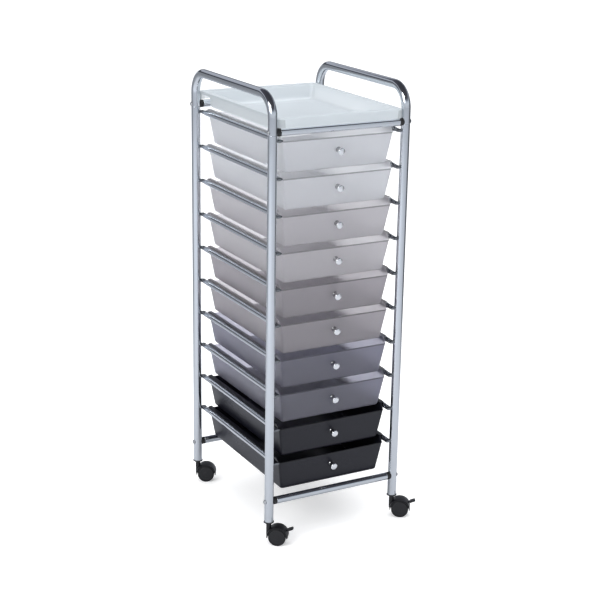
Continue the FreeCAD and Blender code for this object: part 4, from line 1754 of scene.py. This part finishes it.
@dataclass
class Studio:
    """The camera, the pale floor and soft light.

    Mirrors see a room of their own: the shades, ceilings, over and floor_near are seen
    by them only. A ramp's stops are pairs of a place and a colour.

    Args:
        places: where the nodes stand.
        focal_mm: the camera's focal length.
        sensor_mm: the width of its sensor.
        azimuth_deg: how far to the right of the front it stands, or to the left if negative.
        elevation_deg: how far it looks down.
        roll_deg: how far it is tilted.
        far_clip: how far it sees.
        stand: where it stands, from the posts' middle on the floor.
        camera_way: the level way towards it.
        right_way: the level way to the picture's right.
        room_marks: places round the room, from behind the cart (0) to the camera's side (1).
        floor_left: the floor's shades at these marks, on the left.
        floor_right: the same on the right.
        wall_left: the walls' shades at these marks, on the left.
        wall_right: the same on the right.
        room_tint: the colour of a shade of one.
        side_gain: how sharply left and right are parted.
        near_floor: how far out the floor near the cart goes.
        floor_fade: over what length it fades into the rest.
        floor_span: half the width of the floor.
        floor_tones: the floor's own two colours.
        floor_near: what mirrors see of it near the cart.
        floor_rough: how dull it is.
        floor_lift: how strongly it glows.
        daylight: the light from all round that falls on the cart.
        over: how much of the ceiling is seen, by height.
        ceiling_front: the ceiling's colours on the camera's side, by height.
        ceiling_back: its colours behind the cart.
        ceiling_gain: how sharply the two are parted.
        target_height: the height that the lamps face.
        lamps: the lamps.
    """

    places: Places
    focal_mm: float = 86.46
    sensor_mm: float = 36.0
    azimuth_deg: float = -28.68
    elevation_deg: float = 17.44
    roll_deg: float = 0.93
    far_clip: float = 100.0
    stand: tuple[float, float, float] = (-1.4145, -2.6081, 1.3964)
    camera_way: tuple[float, float, float] = (-0.48, -0.877, 0.0)
    right_way: tuple[float, float, float] = (0.877, -0.48, 0.0)
    room_marks: tuple[float, ...] = (0.0, 0.06, 0.13, 0.35, 0.50, 0.68, 1.0)
    floor_left: tuple[float, ...] = (0.66, 0.60, 0.28, 0.30, 0.26, 0.56, 0.60)
    floor_right: tuple[float, ...] = (0.66, 0.62, 0.12, 0.10, 0.12, 0.54, 0.60)
    wall_left: tuple[float, ...] = (0.80, 0.70, 0.32, 0.34, 0.28, 0.66, 0.70)
    wall_right: tuple[float, ...] = (0.80, 0.74, 0.15, 0.12, 0.14, 0.64, 0.70)
    room_tint: Colour = (0.92, 0.96, 1.03)
    side_gain: float = 40.0
    near_floor: float = 1.8
    floor_fade: float = 1.1
    floor_span: float = 30.0
    floor_tones: tuple[Colour, Colour] = ((0.97, 0.97, 0.97), (0.955, 0.955, 0.955))
    floor_near: Colour = (0.53, 0.545, 0.575)
    floor_rough: float = 0.7
    floor_lift: float = 0.26
    daylight: Colour = (1.02, 1.03, 1.05)
    over: Stops = ((0.0, (0.0, 0.0, 0.0)), (0.10, (0.04, 0.04, 0.04)), (0.17, (0.95, 0.95, 0.95)),
                   (1.0, (1.0, 1.0, 1.0)))
    ceiling_front: Stops = ((0.10, (0.72, 0.76, 0.82)), (0.34, (0.62, 0.66, 0.72)),
                            (0.45, (0.24, 0.26, 0.30)), (0.58, (0.06, 0.06, 0.07)),
                            (1.0, (0.05, 0.05, 0.06)))
    ceiling_back: Stops = ((0.14, (0.07, 0.08, 0.10)), (0.31, (0.04, 0.04, 0.05)),
                           (0.38, (0.50, 0.52, 0.58)), (0.50, (0.46, 0.48, 0.54)),
                           (0.55, (0.08, 0.08, 0.10)), (1.0, (0.05, 0.05, 0.06)))
    ceiling_gain: float = 4.0
    target_height: float = 0.5
    lamps: tuple[Lamp, ...] = (Lamp("key", (-3.2, -1.4, 2.6), 2.0, 70.0, True),
                               Lamp("top", (0.3, 0.4, 3.2), 2.4, 40.0, False))

    def camera(self) -> None:
        """Stands the camera where the photograph was taken from."""
        az, el = math.radians(self.azimuth_deg), math.radians(self.elevation_deg)
        roll = math.radians(self.roll_deg)
        back = Vector((math.sin(az) * math.cos(el), -math.cos(az) * math.cos(el), math.sin(el)))
        right = Vector((math.cos(az), math.sin(az), 0.0))
        up = back.cross(right)
        across = right * math.cos(roll) + up * math.sin(roll)
        upward = up * math.cos(roll) - right * math.sin(roll)
        turn = Matrix((across, upward, back)).transposed().to_4x4()
        data = bpy.data.cameras.new("camera")
        data.lens = self.focal_mm
        data.sensor_width = self.sensor_mm
        data.clip_end = self.far_clip
        camera = bpy.data.objects.new("camera", data)
        place = Vector(self.places.middle) + Vector(self.stand)
        camera.matrix_world = Matrix.Translation(place) @ turn
        bpy.context.scene.collection.objects.link(camera)
        bpy.context.scene.camera = camera

    def round_about(self, sheet: NodeSheet, toward: Wire, right: Wire, left_shades: Sequence[float],
                    right_shades: Sequence[float]) -> bpy.types.NodeSocket:
        """What mirrors see of the room round the cart: white behind and in front, darker aside.

        Args:
            sheet: the node sheet.
            toward: 1 on the camera's side and -1 straight behind the cart.
            right: above zero on the right.
            left_shades: the brightness on the left at each of the room's marks.
            right_shades: the brightness on the right at each of them.

        Returns:
            A colour.
        """
        share = toward * 0.5 + 0.5
        left_ramp, right_ramp = (
            sheet.ramp(share, [(mark, tuple(part * shade for part in self.room_tint))
                               for mark, shade in zip(self.room_marks, shades)])
            for shades in (left_shades, right_shades))
        return sheet.blend((right * self.side_gain + 0.5).held(), left_ramp, right_ramp)

    def floor(self) -> None:
        """Lays a wide pale floor that mirrors see as the room's."""
        span = self.floor_span
        mesh = bpy.data.meshes.new("floor")
        mesh.from_pydata([(-span, -span, 0), (span, -span, 0), (span, span, 0), (-span, span, 0)], [],
                         [(0, 1, 2, 3)])
        material = bpy.data.materials.new("pale_floor")
        material.use_nodes = True
        sheet = NodeSheet(material.node_tree)
        cloud = sheet.noise(scale=3.0, detail=2.0)
        tone = sheet.blend(cloud, *(opaque(colour) for colour in self.floor_tones))
        place = sheet.places()
        reach = sheet.length(place)
        tiny = 0.001
        far = self.round_about(sheet, sheet.dot(place, self.camera_way) / (reach + tiny),
                               sheet.dot(place, self.right_way), self.floor_left, self.floor_right)
        near = ((self.near_floor - reach) / self.floor_fade).held()
        mirror = sheet.blend(near, far, opaque(self.floor_near))
        mirrored = sheet.mirrored_ray()
        tone = sheet.blend(mirrored, tone, mirror)
        lift = sheet.blend(mirrored, opaque(WHITE), opaque(BLACK))
        shader = sheet.node("ShaderNodeBsdfPrincipled", None, {
            "Base Color": tone, "Roughness": self.floor_rough, "Emission Color": lift,
            "Emission Strength": self.floor_lift})
        sheet.node("ShaderNodeOutputMaterial", None, {"Surface": shader.outputs[0]})
        mesh.materials.append(material)
        floor = bpy.data.objects.new("floor", mesh)
        bpy.context.scene.collection.objects.link(floor)
        floor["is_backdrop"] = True

    def surroundings(self) -> None:
        """A white room with a dark ceiling, which only mirrors show."""
        world = bpy.data.worlds.new("studio")
        world.use_nodes = True
        bpy.context.scene.world = world
        sheet = NodeSheet(world.node_tree)
        direction = sheet.node("ShaderNodeTexCoord").outputs["Generated"]
        height = sheet.dot(direction, Z_WAY)
        toward = sheet.dot(direction, self.camera_way)
        round_about = self.round_about(sheet, toward, sheet.dot(direction, self.right_way),
                                       self.wall_left, self.wall_right)
        ceiling = sheet.blend((toward * self.ceiling_gain + 0.5).held(),
                              sheet.ramp(height, self.ceiling_back), sheet.ramp(height, self.ceiling_front))
        mirror = sheet.blend(sheet.ramp(height, self.over), round_about, ceiling)
        path = sheet.node("ShaderNodeLightPath")
        lit = sheet.blend(sheet.mirrored_ray(), opaque(self.daylight), mirror)
        seen = sheet.blend(path.outputs["Is Camera Ray"], lit, opaque(WHITE))
        light = sheet.node("ShaderNodeBackground", None, {"Color": seen, "Strength": 1.0})
        sheet.node("ShaderNodeOutputWorld", None, {"Surface": light.outputs[0]})

    def build(self) -> None:
        """Sets up the whole studio."""
        self.camera()
        self.floor()
        self.surroundings()
        for lamp in self.lamps:
            lamp.hang(Vector((*self.places.middle[:2], self.target_height)))
        bpy.context.scene.view_settings.view_transform = "Standard"


def main(frame: dict[str, Any], cad_box: tuple[Vector, Vector]) -> None:
    """Builds the dressed cart and its studio.

    Args:
        cad_box: the CAD model's box; not used.
    """
    logging.basicConfig(level=logging.INFO, format="%(message)s")
    nodes = frame["nodes"]
    places = Places.read()
    tube_colour = (0.72, 0.75, 0.79)
    chrome = Chrome("tube_chrome", tube_colour).build()
    # Painted shade: the rungs' pinched ends, under the drawers' flanges, are darkened.
    rung_chrome = Chrome("rung_chrome", tube_colour, plane=places.middle[1], start=155.0 * MM, gain=250.0,
                         dark=0.30).build()
    # Painted reflection and shade: the knobs' necks and feet are darkened, for the dark drawer front that
    # they mirror.
    knob_chrome = Chrome("knob_chrome", (0.95, 0.955, 0.97), haze=0.03, plane=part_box("knob_1")[0].y,
                         start=7.5 * MM, gain=3.0e4, dark=0.50).build()
    steel = Steel("zinc_steel", (0.62, 0.63, 0.65)).build()
    black = MouldedPlastic("black_plug", (0.012, 0.012, 0.013), rough=0.45).build()
    hood = MouldedPlastic("caster_black", (0.005, 0.005, 0.007), rough=0.38).build()
    wheel = MouldedPlastic("wheel_black", (0.006, 0.006, 0.008), rough=0.46).build()
    TubeFrame(places).build(chrome, rung_chrome, black, steel)
    DrawerSet(places).build(knob_chrome)
    TopTray(places).build()
    Casters(frame["joints"]).build(nodes, wheel, hood, steel, black)
    for number in range(1, DRAWER_COUNT + 1):
        Piece.dress(nodes["knob_screw_%d" % number], steel)
    Studio(places).build()


if __name__ == "__main__":
    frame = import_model()
    main(frame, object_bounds())
